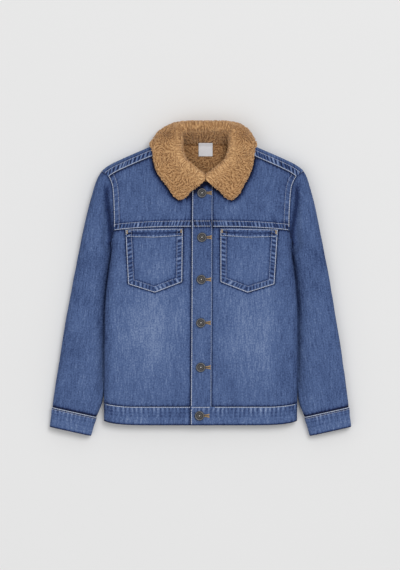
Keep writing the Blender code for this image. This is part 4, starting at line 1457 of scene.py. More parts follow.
def off_line(line: Callable[[Array], Array], way: int) -> Measure:
    """Measures how far plan points lie above (1) or below (-1) a line that runs across."""

    def measure(plan: Array) -> tuple[Array, Array]:
        """The distance, and the place along the line."""
        return way * (plan[..., 1] - line(plan[..., 0])), plan[..., 0]

    return measure


ABOVE_CHEST, BELOW_CHEST = off_line(chest_seam, 1), off_line(chest_seam, -1)
ABOVE_WAIST, BELOW_WAIST = off_line(waist_seam, 1), off_line(waist_seam, -1)
ABOVE_HEM = off_line(hem_edge, 1)


def line_from_first(grid: Array, normals: Array, d: float) -> tuple[Array, Array]:
    """The line that lies a distance from a grid's first row, measured down its columns.

    Args:
        grid: Points in rows and columns.
        normals: Their normals.
        d: The distance.

    Returns:
        The line's points and its normals.
    """
    reached = lengths_along(grid)
    steps = np.linalg.norm(np.diff(grid, axis=0), axis=-1)
    row = np.clip((reached <= d).sum(axis=0) - 1, 0, len(grid) - 2)
    column = np.arange(grid.shape[1])
    t = ((d - reached[row, column]) / np.maximum(steps[row, column], 1e-6))[:, None]
    points = grid[row, column] * (1 - t) + grid[row + 1, column] * t
    return points, normals[row, column]


def pushed(grid: Array, closed: bool, lift: Array, thickness: float, wear_and_shade: Array) -> Layer:
    """A sleeve's grid pushed along its outward normals by a lift, with the cloth's inside behind it.
    The warp runs down the arm, so its place on the cloth is its plan place turned by the arm's slant."""
    normals = grid_normals(grid, closed)
    if closed:
        away = grid - grid.mean(axis=1, keepdims=True)
        normals = normals * np.sign((normals * away).sum())
    outer = grid + lift[..., None] * normals
    slant = math.radians(9.0) * np.sign(grid[..., 0])
    across = grid[..., 0] * np.cos(slant) + grid[..., 1] * np.sin(slant)
    along = grid[..., 1] * np.cos(slant) - grid[..., 0] * np.sin(slant)
    cloth = np.stack([across, along], axis=-1)
    return Layer(outer, outer - thickness * normals, wear_and_shade, cloth)


@dataclass(frozen=True)
class BodyCut:
    """Where the body's panels are cut, and how finely their grids are sampled."""

    cloth: float = 1.4
    seam_gap: float = 0.4
    underlap: float = -16.5
    underarm: float = 2.2
    underarm_y: float = 68.0
    underarm_height: float = 10.0
    strip_gap: Pair = (-0.16, -0.36)
    strip_step: float = 1.6
    neck_steps: int = 34
    seam_steps: int = 56
    side_steps: int = 14
    fold_steps: int = 12
    fine: float = 1.1
    coarse: float = 2.4

    def along_armhole(self) -> tuple[Array, Array, Array]:
        """Lengths down the armhole: the shoulder's rounding, the yoke, and the lower front."""
        corner = armhole_corner()
        fold = FORM.shoulder_round * turn_spacing(self.fold_steps)
        yoke = graded(FORM.shoulder_round, corner, self.fine, 1.9, 15.0)
        lower = graded(corner, ARMHOLE.length, self.fine, self.coarse, 9.0)
        return fold, yoke, lower

    def side_points(self) -> Array:
        """The side edge from the waist seam to the underarm."""
        y = graded(float(waist_seam(np.array(174.0))), ARMHOLE_LINE[-1][1], self.fine, self.coarse, 8.0)
        return np.stack([BODY.read("half_width", y), y], axis=-1)

    def columns(self, inner_x: float, outer_x: float) -> Array:
        """x values from the middle out, close together in the rounding at the side."""
        rounding = outer_x - FORM.side_round * turn_spacing(self.side_steps)[::-1]
        flat = np.linspace(inner_x, rounding[0], self.seam_steps + self.neck_steps + 1)
        return np.concatenate([flat[:-1], rounding])

    def strip(self) -> Array:
        """The half of the back that turns over the shoulder fold: half a turn of an ellipse whose ends
        are drawn to the neck and the armhole. Rows go from under it to the seam."""
        near_tip = TIP_LENGTH - FORM.side_round * turn_spacing(self.side_steps)[::-1]
        along = np.concatenate([np.linspace(0, near_tip[0], self.seam_steps + 1)[:-1], near_tip])
        inward = -SHOULDER.normal(along)[None]
        turn = np.linspace(-math.pi / 2, math.pi / 2, 2 * self.fold_steps + 1)
        reach = FORM.shoulder_round * (1 - np.cos(turn))
        plan = SHOULDER.at(along)[None] + inward * reach[:, None, None]
        share = (along / TIP_LENGTH)[None, :, None]
        neck_edge = np.array(SHOULDER_NECK) - SHOULDER_LINE[0]
        neck = np.array(SHOULDER_LINE[0]) + neck_edge * (reach / FORM.shoulder_round)[:, None]
        plan = plan + (neck - plan[:, 0])[:, None] * (1 - share) ** 6
        plan = plan + (ARMHOLE.at(reach) - plan[:, -1])[:, None] * share**6
        height = BODY.read("thickness", plan[..., 1]) / 2 * (1 + np.sin(turn))[:, None]
        return np.concatenate([plan, height[..., None]], axis=-1)

    def back(self) -> Array:
        """The plan of half the flat back, from the waist seam to the neck and the shoulder strip."""
        _, yoke, lower = self.along_armhole()
        armhole = ARMHOLE.at(np.concatenate([yoke, lower[1:]]))[::-1]
        outer = np.concatenate([self.side_points(), armhole[1:]])
        neck = np.linspace((0.0, 246.6), (42.0, 246.6), self.neck_steps)
        top = np.concatenate([neck, self.strip()[0, :, :2]])
        columns = self.columns(0.0, outer[0, 0])
        bottom = plan_line(columns, waist_seam(columns))
        return patch(np.linspace(bottom[0], top[0], len(outer)), outer, bottom, top)

    def chest_edge(self, inner_x: float, offset: float) -> Array:
        """The chest seam's points from the middle to the armhole, moved up by an offset."""
        end = ARMHOLE.at(self.along_armhole()[1][-1])
        columns = self.columns(inner_x, end[0])
        rise = end[1] - chest_seam(end[0]) + offset
        return np.stack([columns, chest_seam(columns) + rise], axis=-1)

    def yoke(self, inner_x: float) -> Array:
        """The plan of the front above the chest seam, up to the shoulder seam and the neckline."""
        outer = ARMHOLE.at(self.along_armhole()[1])[::-1]
        bottom = self.chest_edge(inner_x, self.seam_gap / 2)
        outer[0] = bottom[-1]
        neckline = Path(NECKLINE)
        inside = inner_x > NECKLINE[-1][0]
        end = neckline.length_where(0, inner_x) if inside else neckline.length
        neck = neckline.at(np.linspace(end, 0, self.neck_steps + 1))
        neck[0, 0] = inner_x
        top = np.concatenate([neck[:-1], self.strip()[-1, :, :2] + self.strip_gap])
        outer[-1] = top[-1]
        return patch(np.linspace(bottom[0], top[0], len(outer)), outer, bottom, top)

    def lower(self, inner_x: float) -> Array:
        """The plan of the front between the waist seam and the chest seam."""
        top = self.chest_edge(inner_x, -self.seam_gap / 2)
        armhole = ARMHOLE.at(self.along_armhole()[2])[::-1]
        outer = np.concatenate([self.side_points(), armhole[1:]])
        outer[:, 0] += self.underarm * hump(outer[:, 1] - self.underarm_y, self.underarm_height)
        outer[-1] = top[-1]
        columns = self.columns(inner_x, outer[0, 0])
        bottom = plan_line(columns, waist_seam(columns))
        return patch(np.linspace(bottom[0], top[0], len(outer)), outer, bottom, top)

    def waistband(self, inner_x: float) -> Array:
        """The plan of the band below the waist seam."""
        columns = self.columns(inner_x, float(BODY.read("half_width", -240.0)))
        top = plan_line(columns, waist_seam(columns) - self.seam_gap)
        bottom = plan_line(columns, hem_edge(columns))
        rows = graded(0.0, 1.0, 0.032, 0.05, 0.35)[:, None, None]
        plan = bottom + (top - bottom) * rows
        plan[..., 0] *= (BODY.read("half_width", plan[..., 1]) / columns[-1]) ** (columns > 100)
        return plan


@dataclass
class Body:
    """The back, the fronts, the front band and the waistband. The collar's edge is as it lies, and painted
    shadow darkens the cloth near it."""

    cut: BodyCut
    shop: Workshop
    stitching: Stitching
    collar_edge: Path

    def build(self) -> None:
        """Makes every panel."""
        self.back()
        for side in Side:
            self.front(side)
        self.band()

    def back(self) -> None:
        """The back with the strips that it turns over both shoulders, and its waistband."""
        strip, plan = self.cut.strip(), self.cut.back()
        layers = []
        for side in Side:
            skin = Skin(Face.BACK, side, (SeamUse(WAIST_FELL, ABOVE_WAIST, 4.0, Role.BESIDE),), tone=-0.15)
            flat = skin.wall(plan, self.cut.cloth)
            layers.append(flat)
            grid = mirrored(strip, side)
            d = lengths_along(strip[::-1])[::-1]
            seed = 7.0 + side.value
            lift, wear_and_shade = SHOULDER_FELL.on_top(d, 0 * d + strip[-1, :, 0], seed)
            fade = (1 - ease(d, 14, 24))
            layer = self.turned_over(grid, lift * fade, wear_and_shade * fade - 0.2)
            layers.append(layer)
            normals = (layer.outer - layer.inner) / self.cut.cloth
            for distance, weight in zip(SHOULDER_FELL.rows, (1.1, 0.7)):
                line, facing = line_from_first(layer.outer[::-1], normals[::-1], distance)
                self.stitching.sew(line, facing, weight)
        self.shop.cloth("back", layers, Declared(400.0, 560.0, 0.77, FLOOR))
        layers = []
        plan = self.cut.waistband(0.0)
        for side in Side:
            seams = (SeamUse(WAIST_FELL, BELOW_WAIST, 5.0), SeamUse(HEM_FELL, ABOVE_HEM, 6.0))
            skin = Skin(Face.BACK, side, seams, tone=-0.05)
            layers.append(skin.wall(plan, self.cut.cloth))
            self.waist_rows(skin, 0.0, 172.0)
        self.shop.cloth("waistband_back", layers, Declared(352.0, 37.0, 0.95, FLOOR))

    def turned_over(self, grid: Array, lift: Array, wear_and_shade: Array) -> Layer:
        """The strip over a shoulder, pushed out along its normals."""
        normals = grid_normals(grid)
        top = normals[-1, :, 2].mean()
        normals = normals * np.sign(top)
        outer = grid + lift[..., None] * normals
        cloth = grid[..., :2].copy()
        cloth[..., 1] += np.arange(len(grid))[:, None] * self.cut.strip_step
        return Layer(outer, outer - self.cut.cloth * normals, wear_and_shade, cloth)

    def waist_rows(self, skin: Skin, inner_x: float, outer_x: float) -> None:
        """The row under the waist seam."""
        x = np.arange(inner_x + 1, outer_x, ROW_STEP)
        skin.sew(self.stitching, plan_line(x, waist_seam(x) - 0.4 - WAIST_FELL.near_row), 1.2)

    def chest_rows(self, skin: Skin, x: Array, weights: Pair) -> None:
        """The two rows over the chest seam."""
        for distance, weight in zip(CHEST_FELL.rows, weights):
            skin.sew(self.stitching, plan_line(x, chest_seam(x) + distance), weight)

    def front(self, side: Side) -> None:
        """The yoke, the lower front and the waistband on one side."""
        cut = self.cut
        left = side is Side.LEFT
        seam = Path(cut.strip()[-1, :, :2], smooth=False)
        inner = BAND_OUTER + cut.seam_gap if left else cut.underlap
        seed = 40.0 + 10 * side.value
        seams = (
            SeamUse(CHEST_FELL, ABOVE_CHEST, seed),
            SeamUse(ARM_FELL, ARMHOLE.nearest, seed + 1),
            SeamUse(SHOULDER_FELL, seam.nearest, seed + 2, Role.BESIDE),
            SeamUse(COLLAR_SHADE, by_collar(self.collar_edge, side), seed, Role.BESIDE),
            SeamUse(COLLAR_SHADE, by_opening(side), seed, Role.BESIDE),
            SeamUse(SEWN_EDGE if left else FREE_EDGE, by_band(side), seed, Role.BESIDE),
        )
        yoke = Skin(Face.FRONT, side, seams, tone=-0.26, glow=(80.0, 140.0, 40.0, 30.0, 0.1))
        declared = Declared(164.0 if left else 199.0, 146.0, 0.72, ON_BACK)
        self.shop.cloth(f"front_yoke_{side.label}", [yoke.wall(cut.yoke(inner), cut.cloth)], declared)
        visible = BAND_OUTER if left else -BAND_FREE
        self.chest_rows(yoke, np.arange(visible + 1.0, 157.0, ROW_STEP), (1.15, 0.65))
        lengths = np.arange(FORM.shoulder_round, float(cut.along_armhole()[1][-1]) - 4, ROW_STEP)
        for distance, weight in zip(ARM_FELL.rows, (1.25, 0.45)):
            yoke.sew(self.stitching, ARMHOLE.beside(lengths, -distance), weight)
        seams = (
            SeamUse(CHEST_FELL, BELOW_CHEST, seed, Role.BESIDE),
            SeamUse(WAIST_FELL, ABOVE_WAIST, seed + 3, Role.BESIDE),
            SeamUse(POCKET_FELL, PocketCut().outline().nearest, seed + 4, Role.BESIDE),
            SeamUse(SEWN_EDGE if left else FREE_EDGE, by_band(side), seed, Role.BESIDE),
        )
        lower = Skin(
            Face.FRONT, side, seams, tone=-0.26 if left else -0.2, apart=FORM.side_gap,
            glow=(92.0, -85.0, 58.0, 100.0, 0.5),
        )
        declared = Declared(180.0 if left else 218.0, 330.0, 0.87, ON_BACK)
        layer = lower.wall(cut.lower(inner), cut.cloth)
        self.shop.cloth(f"front_lower_{side.label}", [layer], declared, "denim_faded")
        inner = BAND_FREE if left else cut.underlap
        seams = (SeamUse(WAIST_FELL, BELOW_WAIST, seed + 4), SeamUse(HEM_FELL, ABOVE_HEM, seed + 5))
        if not left:
            seams += (SeamUse(FREE_EDGE, by_band(side), seed, Role.BESIDE),)
        above = FORM.layer_gap + UNDERLAYER
        band = Skin(Face.FRONT, side, seams, tone=-0.05, apart=FORM.side_gap)
        plan = cut.waistband(inner)
        layer = band.wall(plan, cut.cloth)
        if left:
            step = above * (1 - ease(plan[..., 0], BAND_OUTER, BAND_OUTER + 5))
            layer.outer[..., 2] += step
            layer.inner[..., 2] += step
        self.shop.cloth(f"waistband_{side.label}", [layer], Declared(196.0, 37.0, 0.94, ON_BACK))
        self.waist_rows(band, BAND_OUTER + 5 if left else -BAND_FREE, 172.0)
        if left:
            raised = Skin(Face.FRONT, side, seams, above)
            self.waist_rows(raised, BAND_FREE, BAND_OUTER)
            y = np.arange(-262.0, -232.0, ROW_STEP)
            raised.sew(self.stitching, plan_line(BAND_FREE + 1.2, y), 1.5)

    def band(self) -> None:
        """The band down the front edge, under which the other front ends."""
        columns = graded(BAND_FREE, BAND_OUTER, 0.8, 2.0, 4.0)
        bottom = plan_line(columns, waist_seam(columns))
        top = plan_line(columns, 173.4)
        rows = np.linspace(0, 1, 250)[:, None, None]
        plan = bottom + (top - bottom) * rows
        skin = band_skin(self.collar_edge)
        declared = Declared(37.4, 405.0, 1.0, ("front_lower_right", "front_yoke_right"))
        self.shop.cloth("front_band", [skin.wall(plan, 1.5)], declared, "denim_faded")
        y = np.arange(-229.0, 172.0, ROW_STEP)
        for x, weight in ((BAND_FREE + 1.3, 1.35), (BAND_OUTER - 1.4, 0.45)):
            skin.sew(self.stitching, plan_line(x, y), weight)
        self.chest_rows(skin, np.arange(BAND_FREE + 3.0, BAND_OUTER - 2.0, ROW_STEP), (1.0, 0.8))


def by_collar(edge: Path, side: Side) -> Measure:
    """Measures how far plan points of a front lie from the collar's edge, once both have leaned."""

    def measure(plan: Array) -> tuple[Array, Array]:
        """The distance, and the length along the edge."""
        points = mirrored(np.concatenate([plan, 0 * plan[..., :1]], axis=-1), side)
        return edge.nearest(FORM.leaned(points)[..., :2])

    return measure


def by_opening(side: Side) -> Measure:
    """Measures the way below the collar's front edges, which part at one point and slope down to the
    tips."""

    def measure(plan: Array) -> tuple[Array, Array]:
        """The distance below the nearer edge, and the way to the side of the point."""
        aside = np.abs(plan[..., 0] * side.value - PARTING[0])
        below = 0.81 * (PARTING[1] - plan[..., 1]) - 0.585 * aside
        return np.where(aside < PARTING_REACH, below, 50.0), aside

    return measure


def by_band(side: Side) -> Measure:
    """Measures how far plan points of a front lie from the edge of the front band that lies on it."""
    edge = BAND_OUTER if side is Side.LEFT else -BAND_FREE

    def measure(plan: Array) -> tuple[Array, Array]:
        """The distance, and the place along the band."""
        return plan[..., 0] - edge, plan[..., 1]

    return measure


def band_edges(plan: Array) -> tuple[Array, Array]:
    """Distance in from the nearer edge of the front band, and along it."""
    return np.minimum(plan[..., 0] - BAND_FREE, BAND_OUTER - plan[..., 0]), plan[..., 1]


def band_skin(collar_edge: Path) -> Skin:
    """The front band's outside, whose edges are sewn and under which the chest seam shows."""
    seams = (
        SeamUse(BAND_FELL, band_edges, 71.0),
        SeamUse(CHEST_FELL, ABOVE_CHEST, 72.0, Role.OVER),
        SeamUse(COLLAR_SHADE, by_collar(collar_edge, Side.LEFT), 73.0, Role.BESIDE),
        SeamUse(COLLAR_SHADE, by_opening(Side.LEFT), 74.0, Role.BESIDE),
    )
    above = FORM.layer_gap + UNDERLAYER
    return Skin(Face.FRONT, Side.LEFT, seams, above, tone=-0.36, glow=(0.0, -90.0, 16.0, 130.0, 0.3))


@dataclass(frozen=True)
class SleeveForm:
    """The sleeve's rings, each a chord from its outer to its inner fold, which the first few bend
    towards the armhole seam."""

    cloth: float = 1.4
    rings: int = 112
    fold_points: int = 12
    flat_points: int = 46
    turn_points: int = 7
    tuck: float = 2.6
    crease_offset: float = 11.0
    crease_width: float = 8.0
    crease_depth: float = 9.0
    crease_clear: float = 7.0
    crease_from: float = 20.0
    crease_full: float = 52.0
    cuff_outer: Pair = (271.8, -267.2)
    cuff_inner: Pair = (196.9, -283.8)
    cuff_thickness: float = 20.0
    # Painted shade: the valley beside the armhole, and the line along the body's edge where the sleeve runs
    # under it.
    valley_width: float = 5.0
    valley_shade: float = 1.1
    side_shade: float = 0.9
    side_shade_reach: float = 6.0
    cuff_row_gap: float = 3.0

    def around(self) -> Array:
        """Places round the upper half of a ring: 0 to 4 is the outer fold, 4 to 11 the flat and 11 to
        13 the inner fold."""
        fold = np.linspace(0, 4, self.fold_points + 1)
        flat = np.linspace(4, 11, self.flat_points + 1)[1:]
        return np.concatenate([fold, flat, np.linspace(11, 13, self.turn_points + 1)[1:]])

    def surface(self, row: dict[str, Array], outer: Array, inner: Array, station: Array) -> Array:
        """The rings' points. Across a ring, the outer fold is a quarter of an ellipse, the top climbs
        from the inner fold as 1 - exp, and a bell along the armhole presses the crease in.

        Args:
            row: The sleeve's table, read for each ring.
            outer: Each ring's outer fold in the plan.
            inner: Each ring's inner fold.
            station: Where each ring is down the sleeve.

        Returns:
            Rings by points, from the inner fold under the sleeve, round the outer fold and back.
        """
        place = self.around()[None]
        corner = armhole_corner()
        turned_in = FORM.shoulder_round * (1 - np.cos(np.clip(place, 0, 4) * math.pi / 8))
        arm = np.where(
            place < 4, turned_in, np.interp(place, (4, 11, 13), (17.0, corner, ARMHOLE.length))
        )[0]
        width = np.linalg.norm(inner - outer, axis=-1)
        reach, fold_reach = row["outer_reach"], row["fold_reach"]
        folded = reach * (1 - np.cos(np.clip(place, 0, 4) * math.pi / 8))
        flat = reach + (width - fold_reach - reach) * np.clip((place - 4) / 7, 0, 1)
        back_in = width - fold_reach * (1 - np.cos(np.clip(13 - place, 0, 2) * math.pi / 4))
        across = np.where(place < 4, folded, np.where(place < 11, flat, back_in))
        chord = outer + (inner - outer) * (across / width)[..., None]
        seam = ARMHOLE.beside(arm, 0.4)
        bend = np.clip(1 - station / 5.0, 0, 1)[:, None, None] ** 2
        plan = chord + (seam - chord[0]) * bend
        near = 1 - ease(station, 0, 1.6)[:, None]
        at_seam = FORM.height(ARMHOLE.at(arm), Face.FRONT)
        full = rounded(across, reach)
        thickness, half = row["thickness"], row["fold_half"]
        from_inner = width - across
        turned = rounded(from_inner, fold_reach)
        climb = 1 - np.exp(-np.clip(from_inner - fold_reach, 0, None) / row["rise"])
        over = half * (1 + turned) + (thickness - 2 * half) * climb
        top = thickness / 2 + (over - thickness / 2) * full
        under = thickness / 2 * (1 - full) + half * (1 - turned) * full
        from_seam = ARMHOLE.nearest(plan)[0]
        crease = self.crease_depth * hump(from_seam - self.crease_offset, self.crease_width)
        crease = crease * np.clip((arm - self.crease_from) / (self.crease_full - self.crease_from), 0, 1)
        crease = crease * np.clip((top - under - self.crease_clear) / self.crease_depth, 0, 1)
        top = near * at_seam + (1 - near) * (top - crease)
        under_seam = BODY.read("thickness", ARMHOLE.at(arm)[:, 1]) - at_seam
        under = near * under_seam + (1 - near) * under
        upper = np.concatenate([plan, top[..., None]], axis=-1)
        lower = np.concatenate([plan, under[..., None]], axis=-1)
        return np.concatenate([lower[:, ::-1], upper[:, 1:-1]], axis=1)

    def sleeve(self) -> tuple[Array, Array]:
        """The sleeve's rings from the armhole to the cuff seam, and their stations."""
        station = 14 * np.linspace(0, 1, self.rings) ** 1.2
        row = {name: SLEEVE.read(name, station)[:, None] for name in SLEEVE_COLUMNS[1:]}
        inner_x = BODY.read("half_width", row["inner_y"]) + row["inner_out"]
        inner_x = inner_x - self.tuck * (1 - ease(station, 3.5, 6.0))[:, None]
        outer = np.stack([row["outer_x"], row["outer_y"]], axis=-1)
        inner = np.stack([inner_x, row["inner_y"]], axis=-1)
        return self.surface(row, outer, inner, station), station

    def cuff(self) -> Array:
        """The cuff's rings from the sleeve's end down."""
        end = SLEEVE_ROWS[-1]
        seam_outer = np.array(end[1:3])
        seam_inner = np.array([float(BODY.read("half_width", end[4])) + end[3], end[4]])
        share = graded(0.011, 1.0, 0.03, 0.055, 0.4)[:, None, None]
        outer = seam_outer + (np.array(self.cuff_outer) - seam_outer) * share
        inner = seam_inner + (np.array(self.cuff_inner) - seam_inner) * share
        thickness = end[5] + (self.cuff_thickness - end[5]) * share[..., 0]
        row = {name: np.full_like(thickness, value) for name, value in zip(SLEEVE_COLUMNS[5:], end[5:])}
        row["thickness"] = thickness
        row["fold_half"] = thickness / 2
        return self.surface(row, outer, inner, np.full(len(share), 99.0))


@dataclass
class Sleeves:
    """Both sleeves and their cuffs."""

    form: SleeveForm
    shop: Workshop
    stitching: Stitching

    def build(self) -> None:
        """Makes both sides."""
        for side in Side:
            self.sleeve(side)
            self.cuff(side)

    def sleeve(self, side: Side) -> None:
        """One sleeve, creased by the armhole, with soft folds across the elbow and down its length. Painted
        shade darkens the cloth beside the armhole, the line along the body's edge, the outer fold, the
        creases and the edge above the cuff.
        """
        rings, station = self.form.sleeve()
        plan = rings[..., :2]
        seed = 60.0 + 9 * side.value
        gap, s = ARMHOLE.nearest(plan)
        # The armhole seam's faded ripples and the painted shadow beside it.
        lift, wear_and_shade = ARM_FELL.beside(gap, s, seed)
        inside = 1 - ease(gap, 10, 22)
        lift, wear_and_shade = lift * inside * ease(station, 0.1, 0.5)[:, None], wear_and_shade * inside * 0.7
        rows = SLEEVE_CREASES
        if side is Side.RIGHT:
            rows = varied(SLEEVE_CREASES, (4, -14, -3, -8), 1.15, 0.9)
        away = ease(station, 0.6, 2.5)[:, None] * (1 - ease(station, 13.2, 14.0))[:, None]
        under = rings[..., 2] < 12
        folds = soft_creases(plan + (0.0, 40.0) * under[..., None], rows, seed)
        lift = lift + folds * away
        x, y = plan[..., 0], plan[..., 1]
        off = np.interp(y, *np.array(VALLEY).T)
        # Painted shade: a dark valley beside the armhole, and a dark line along the body's edge below it.
        valley = hump(gap - off, self.form.valley_width) * ease(s, 14, 50) * ease(y, 52, 66)
        from_body = np.clip(x - BODY.read("half_width", y), 0, None)
        side_shade = self.form.side_shade * np.exp(-from_body / self.form.side_shade_reach)
        valley = valley + side_shade * ease(y, -190, -10) * (y < 66)
        # The creases take painted shade and their ridges fade paler.
        wear_and_shade = wear_and_shade - 0.24 - self.form.valley_shade * valley + 0.14 * folds
        wear_and_shade = wear_and_shade + 0.08 * speckle(x / 17, y / 40, seed)
        count = rings.shape[1]
        middle = np.abs(np.arange(count) - count / 2) / count
        # Painted shade along the outer fold, where the sleeve turns down.
        wear_and_shade = wear_and_shade - 0.15 * (1 - ease(middle * 200, 4, 22))
        end, end_s = ease(station, 13.55, 14.0)[:, None], plan[..., 0]
        # Faded ripples, and a painted shadow above the cuff's folded edge.
        ripple, tone_change = CUFF_FELL.beside((1 - end) * 12, end_s, seed + 2)
        lift, wear_and_shade = lift + ripple * end, wear_and_shade + 1.8 * tone_change * end
        layer = pushed(mirrored(rings, side), True, lift, self.form.cloth, wear_and_shade)
        declared = Declared(206.0, 500.0, 0.65, FLOOR)
        self.shop.cloth(f"sleeve_{side.label}", [layer], declared, closed=True)

    def cuff(self, side: Side) -> None:
        """One cuff, sewn over the sleeve's end."""
        rings = self.form.cuff()
        seed = 90.0 + 9 * side.value
        d, s = lengths_along(rings), lengths_along(rings[0])
        lift, wear_and_shade = CUFF_FELL.on_top(d, 0 * d + s, seed)
        # Painted shade along the turned lower edge, and a painted dark line just below the first row.
        hem, tone_change = HEM_FELL.on_top(d[-1] - d, 0 * d + s, seed + 3)
        wear_and_shade = wear_and_shade + tone_change + 0.02 - 1.6 * hump(d - CUFF_FELL.near_row - 1.5, 0.7)
        layer = pushed(mirrored(rings, side), True, lift + 0.4 * hem, self.form.cloth, wear_and_shade)
        declared = Declared(180.0, 38.0, 0.99, FLOOR)
        self.shop.cloth(f"cuff_{side.label}", [layer], declared, closed=True)
        normals = (layer.outer - layer.inner) / self.form.cloth
        near = CUFF_FELL.near_row
        for distance, weight in ((near, 1.4), (near + self.form.cuff_row_gap, 0.5)):
            line, facing = line_from_first(layer.outer, normals, distance)
            ring, faces = np.concatenate([line, line[:1]]), np.concatenate([facing, facing[:1]])
            self.stitching.sew(ring, faces, weight)


@dataclass(frozen=True)
class PocketCut:
    """A patch pocket with a turned top and a pointed bottom."""

    outer_top: Pair = (136.9, 88.0)
    inner_top: Pair = (33.6, 89.6)
    outer_bottom: Pair = (131.4, -10.4)
    inner_bottom: Pair = (34.3, -6.5)
    point: Pair = (83.5, -25.6)
    hem: float = 16.4
    cloth: float = 1.6
    hem_fold: float = 2.0

    def plan(self, low_share: float, high_share: float, rows: int) -> Array:
        """The plan between two shares of the way up from the lower edge to the top."""
        across = graded(0.0, 1.0, 0.012, 0.018, 0.1)
        wide = np.subtract(self.outer_bottom, self.inner_bottom)
        low = np.array(self.inner_bottom) + across[:, None] * wide
        heights = (self.inner_bottom[1], self.point[1], self.outer_bottom[1])
        low[:, 1] = np.interp(across, (0, 0.5, 1), heights)
        wide = np.subtract(self.outer_top, self.inner_top)
        top = np.array(self.inner_top) + across[:, None] * wide
        return low + (top - low) * np.linspace(low_share, high_share, rows)[:, None, None]

    def corners(self) -> Array:
        """The corners from the outer top round the point to the inner top."""
        return np.array((self.outer_top, self.outer_bottom, self.point, self.inner_bottom, self.inner_top))

    def outline(self) -> Path:
        """The edge that is sewn down."""
        return Path(self.corners(), smooth=False)

    def inset(self, distance: float) -> Array:
        """The sewn edge moved inwards: each corner moves along the mean of its sides' normals, far
        enough for both sides."""
        corners = self.corners()
        ahead = np.diff(corners, axis=0)
        ahead /= np.linalg.norm(ahead, axis=-1, keepdims=True)
        normal = np.stack([ahead[:, 1], -ahead[:, 0]], axis=-1)
        normal *= np.sign(((corners.mean(axis=0) - corners[:-1]) * normal).sum(-1, keepdims=True))
        both = np.concatenate([normal[:1], normal[:-1] + normal[1:], normal[-1:]])
        both /= np.linalg.norm(both, axis=-1, keepdims=True)
        lean = np.concatenate([[1], (both[1:-1] * normal[1:]).sum(-1), [1]])[:, None]
        return corners + distance * both / lean


@dataclass
class Pockets:
    """Both chest pockets, with their pale topstitching and tan bar tacks."""

    cut: PocketCut
    shop: Workshop
    stitching: Stitching
    tacks: Stitching

    def build(self) -> None:
        """Makes both."""
        for side in Side:
            self.pocket(side)

    def pocket(self, side: Side) -> None:
        """One pocket: its body, its turned top, two rows round it and a row under the top."""
        cut = self.cut
        outline = cut.outline()
        seed = 120.0 + 9 * side.value
        share = 1 - cut.hem / (cut.inner_top[1] - cut.point[1])
        gap = 0.4 / (cut.inner_top[1] - cut.inner_bottom[1])
        edge = SeamUse(POCKET_FELL, outline.nearest, seed)
        body = Skin(
            Face.FRONT, side, (edge,), FORM.layer_gap + cut.cloth, tone=-0.24,
            glow=(84.0, 14.0, 32.0, 34.0, 0.28),
        )
        low = cut.plan(0.0, share, 66)
        below = (f"front_lower_{side.label}",)
        declared = Declared(106.0, 116.0, 0.86, below)
        self.shop.cloth(f"pocket_{side.label}", [body.wall(low, cut.cloth)], declared)
        high = cut.plan(share + gap, 1.0, 16)
        lip = Path(high[0], smooth=False)
        top = Path(high[-1], smooth=False)
        seams = (edge, SeamUse(LIP_FELL, lip.nearest, seed + 2), SeamUse(LIP_FELL, top.nearest, seed + 3))
        hem = Skin(Face.FRONT, side, seams, FORM.layer_gap + cut.hem_fold, tone=-0.1)
        declared = Declared(106.0, 17.5, 1.0, below)
        self.shop.cloth(f"pocket_hem_{side.label}", [hem.wall(high, cut.hem_fold)], declared)
        for distance, weight in zip(POCKET_FELL.rows, (1.3, 0.4)):
            path = Path(cut.inset(distance), smooth=False)
            points = path.at(np.arange(1.0, path.length - 1.0, ROW_STEP))
            in_hem = lip.nearest(points)[1] > 0
            under = points[:, 1] < np.interp(points[:, 0], high[0, :, 0], high[0, :, 1])
            for skin, keep in ((body, under), (hem, ~under & in_hem)):
                breaks = np.flatnonzero(np.diff(keep.astype(int))) + 1
                for run in np.split(np.arange(len(points)), breaks):
                    if keep[run[0]] and len(run) > 2:
                        skin.sew(self.stitching, points[run], weight)
        for edge_path, inward in ((lip, 1.3), (top, -1.3)):
            points = edge_path.at(np.arange(1.0, edge_path.length, ROW_STEP))
            hem.sew(self.stitching, points + (0.0, inward), 0.8)
        for corner, inward in ((cut.outer_top, -1), (cut.inner_top, 1)):
            x = corner[0] + inward * np.array([1.6, 4.4])
            for y in np.arange(corner[1] - 7.6, corner[1] - 1.8, 0.7):
                self.tacks.sew_bar(hem, np.stack([x, np.full(2, y)], axis=-1))


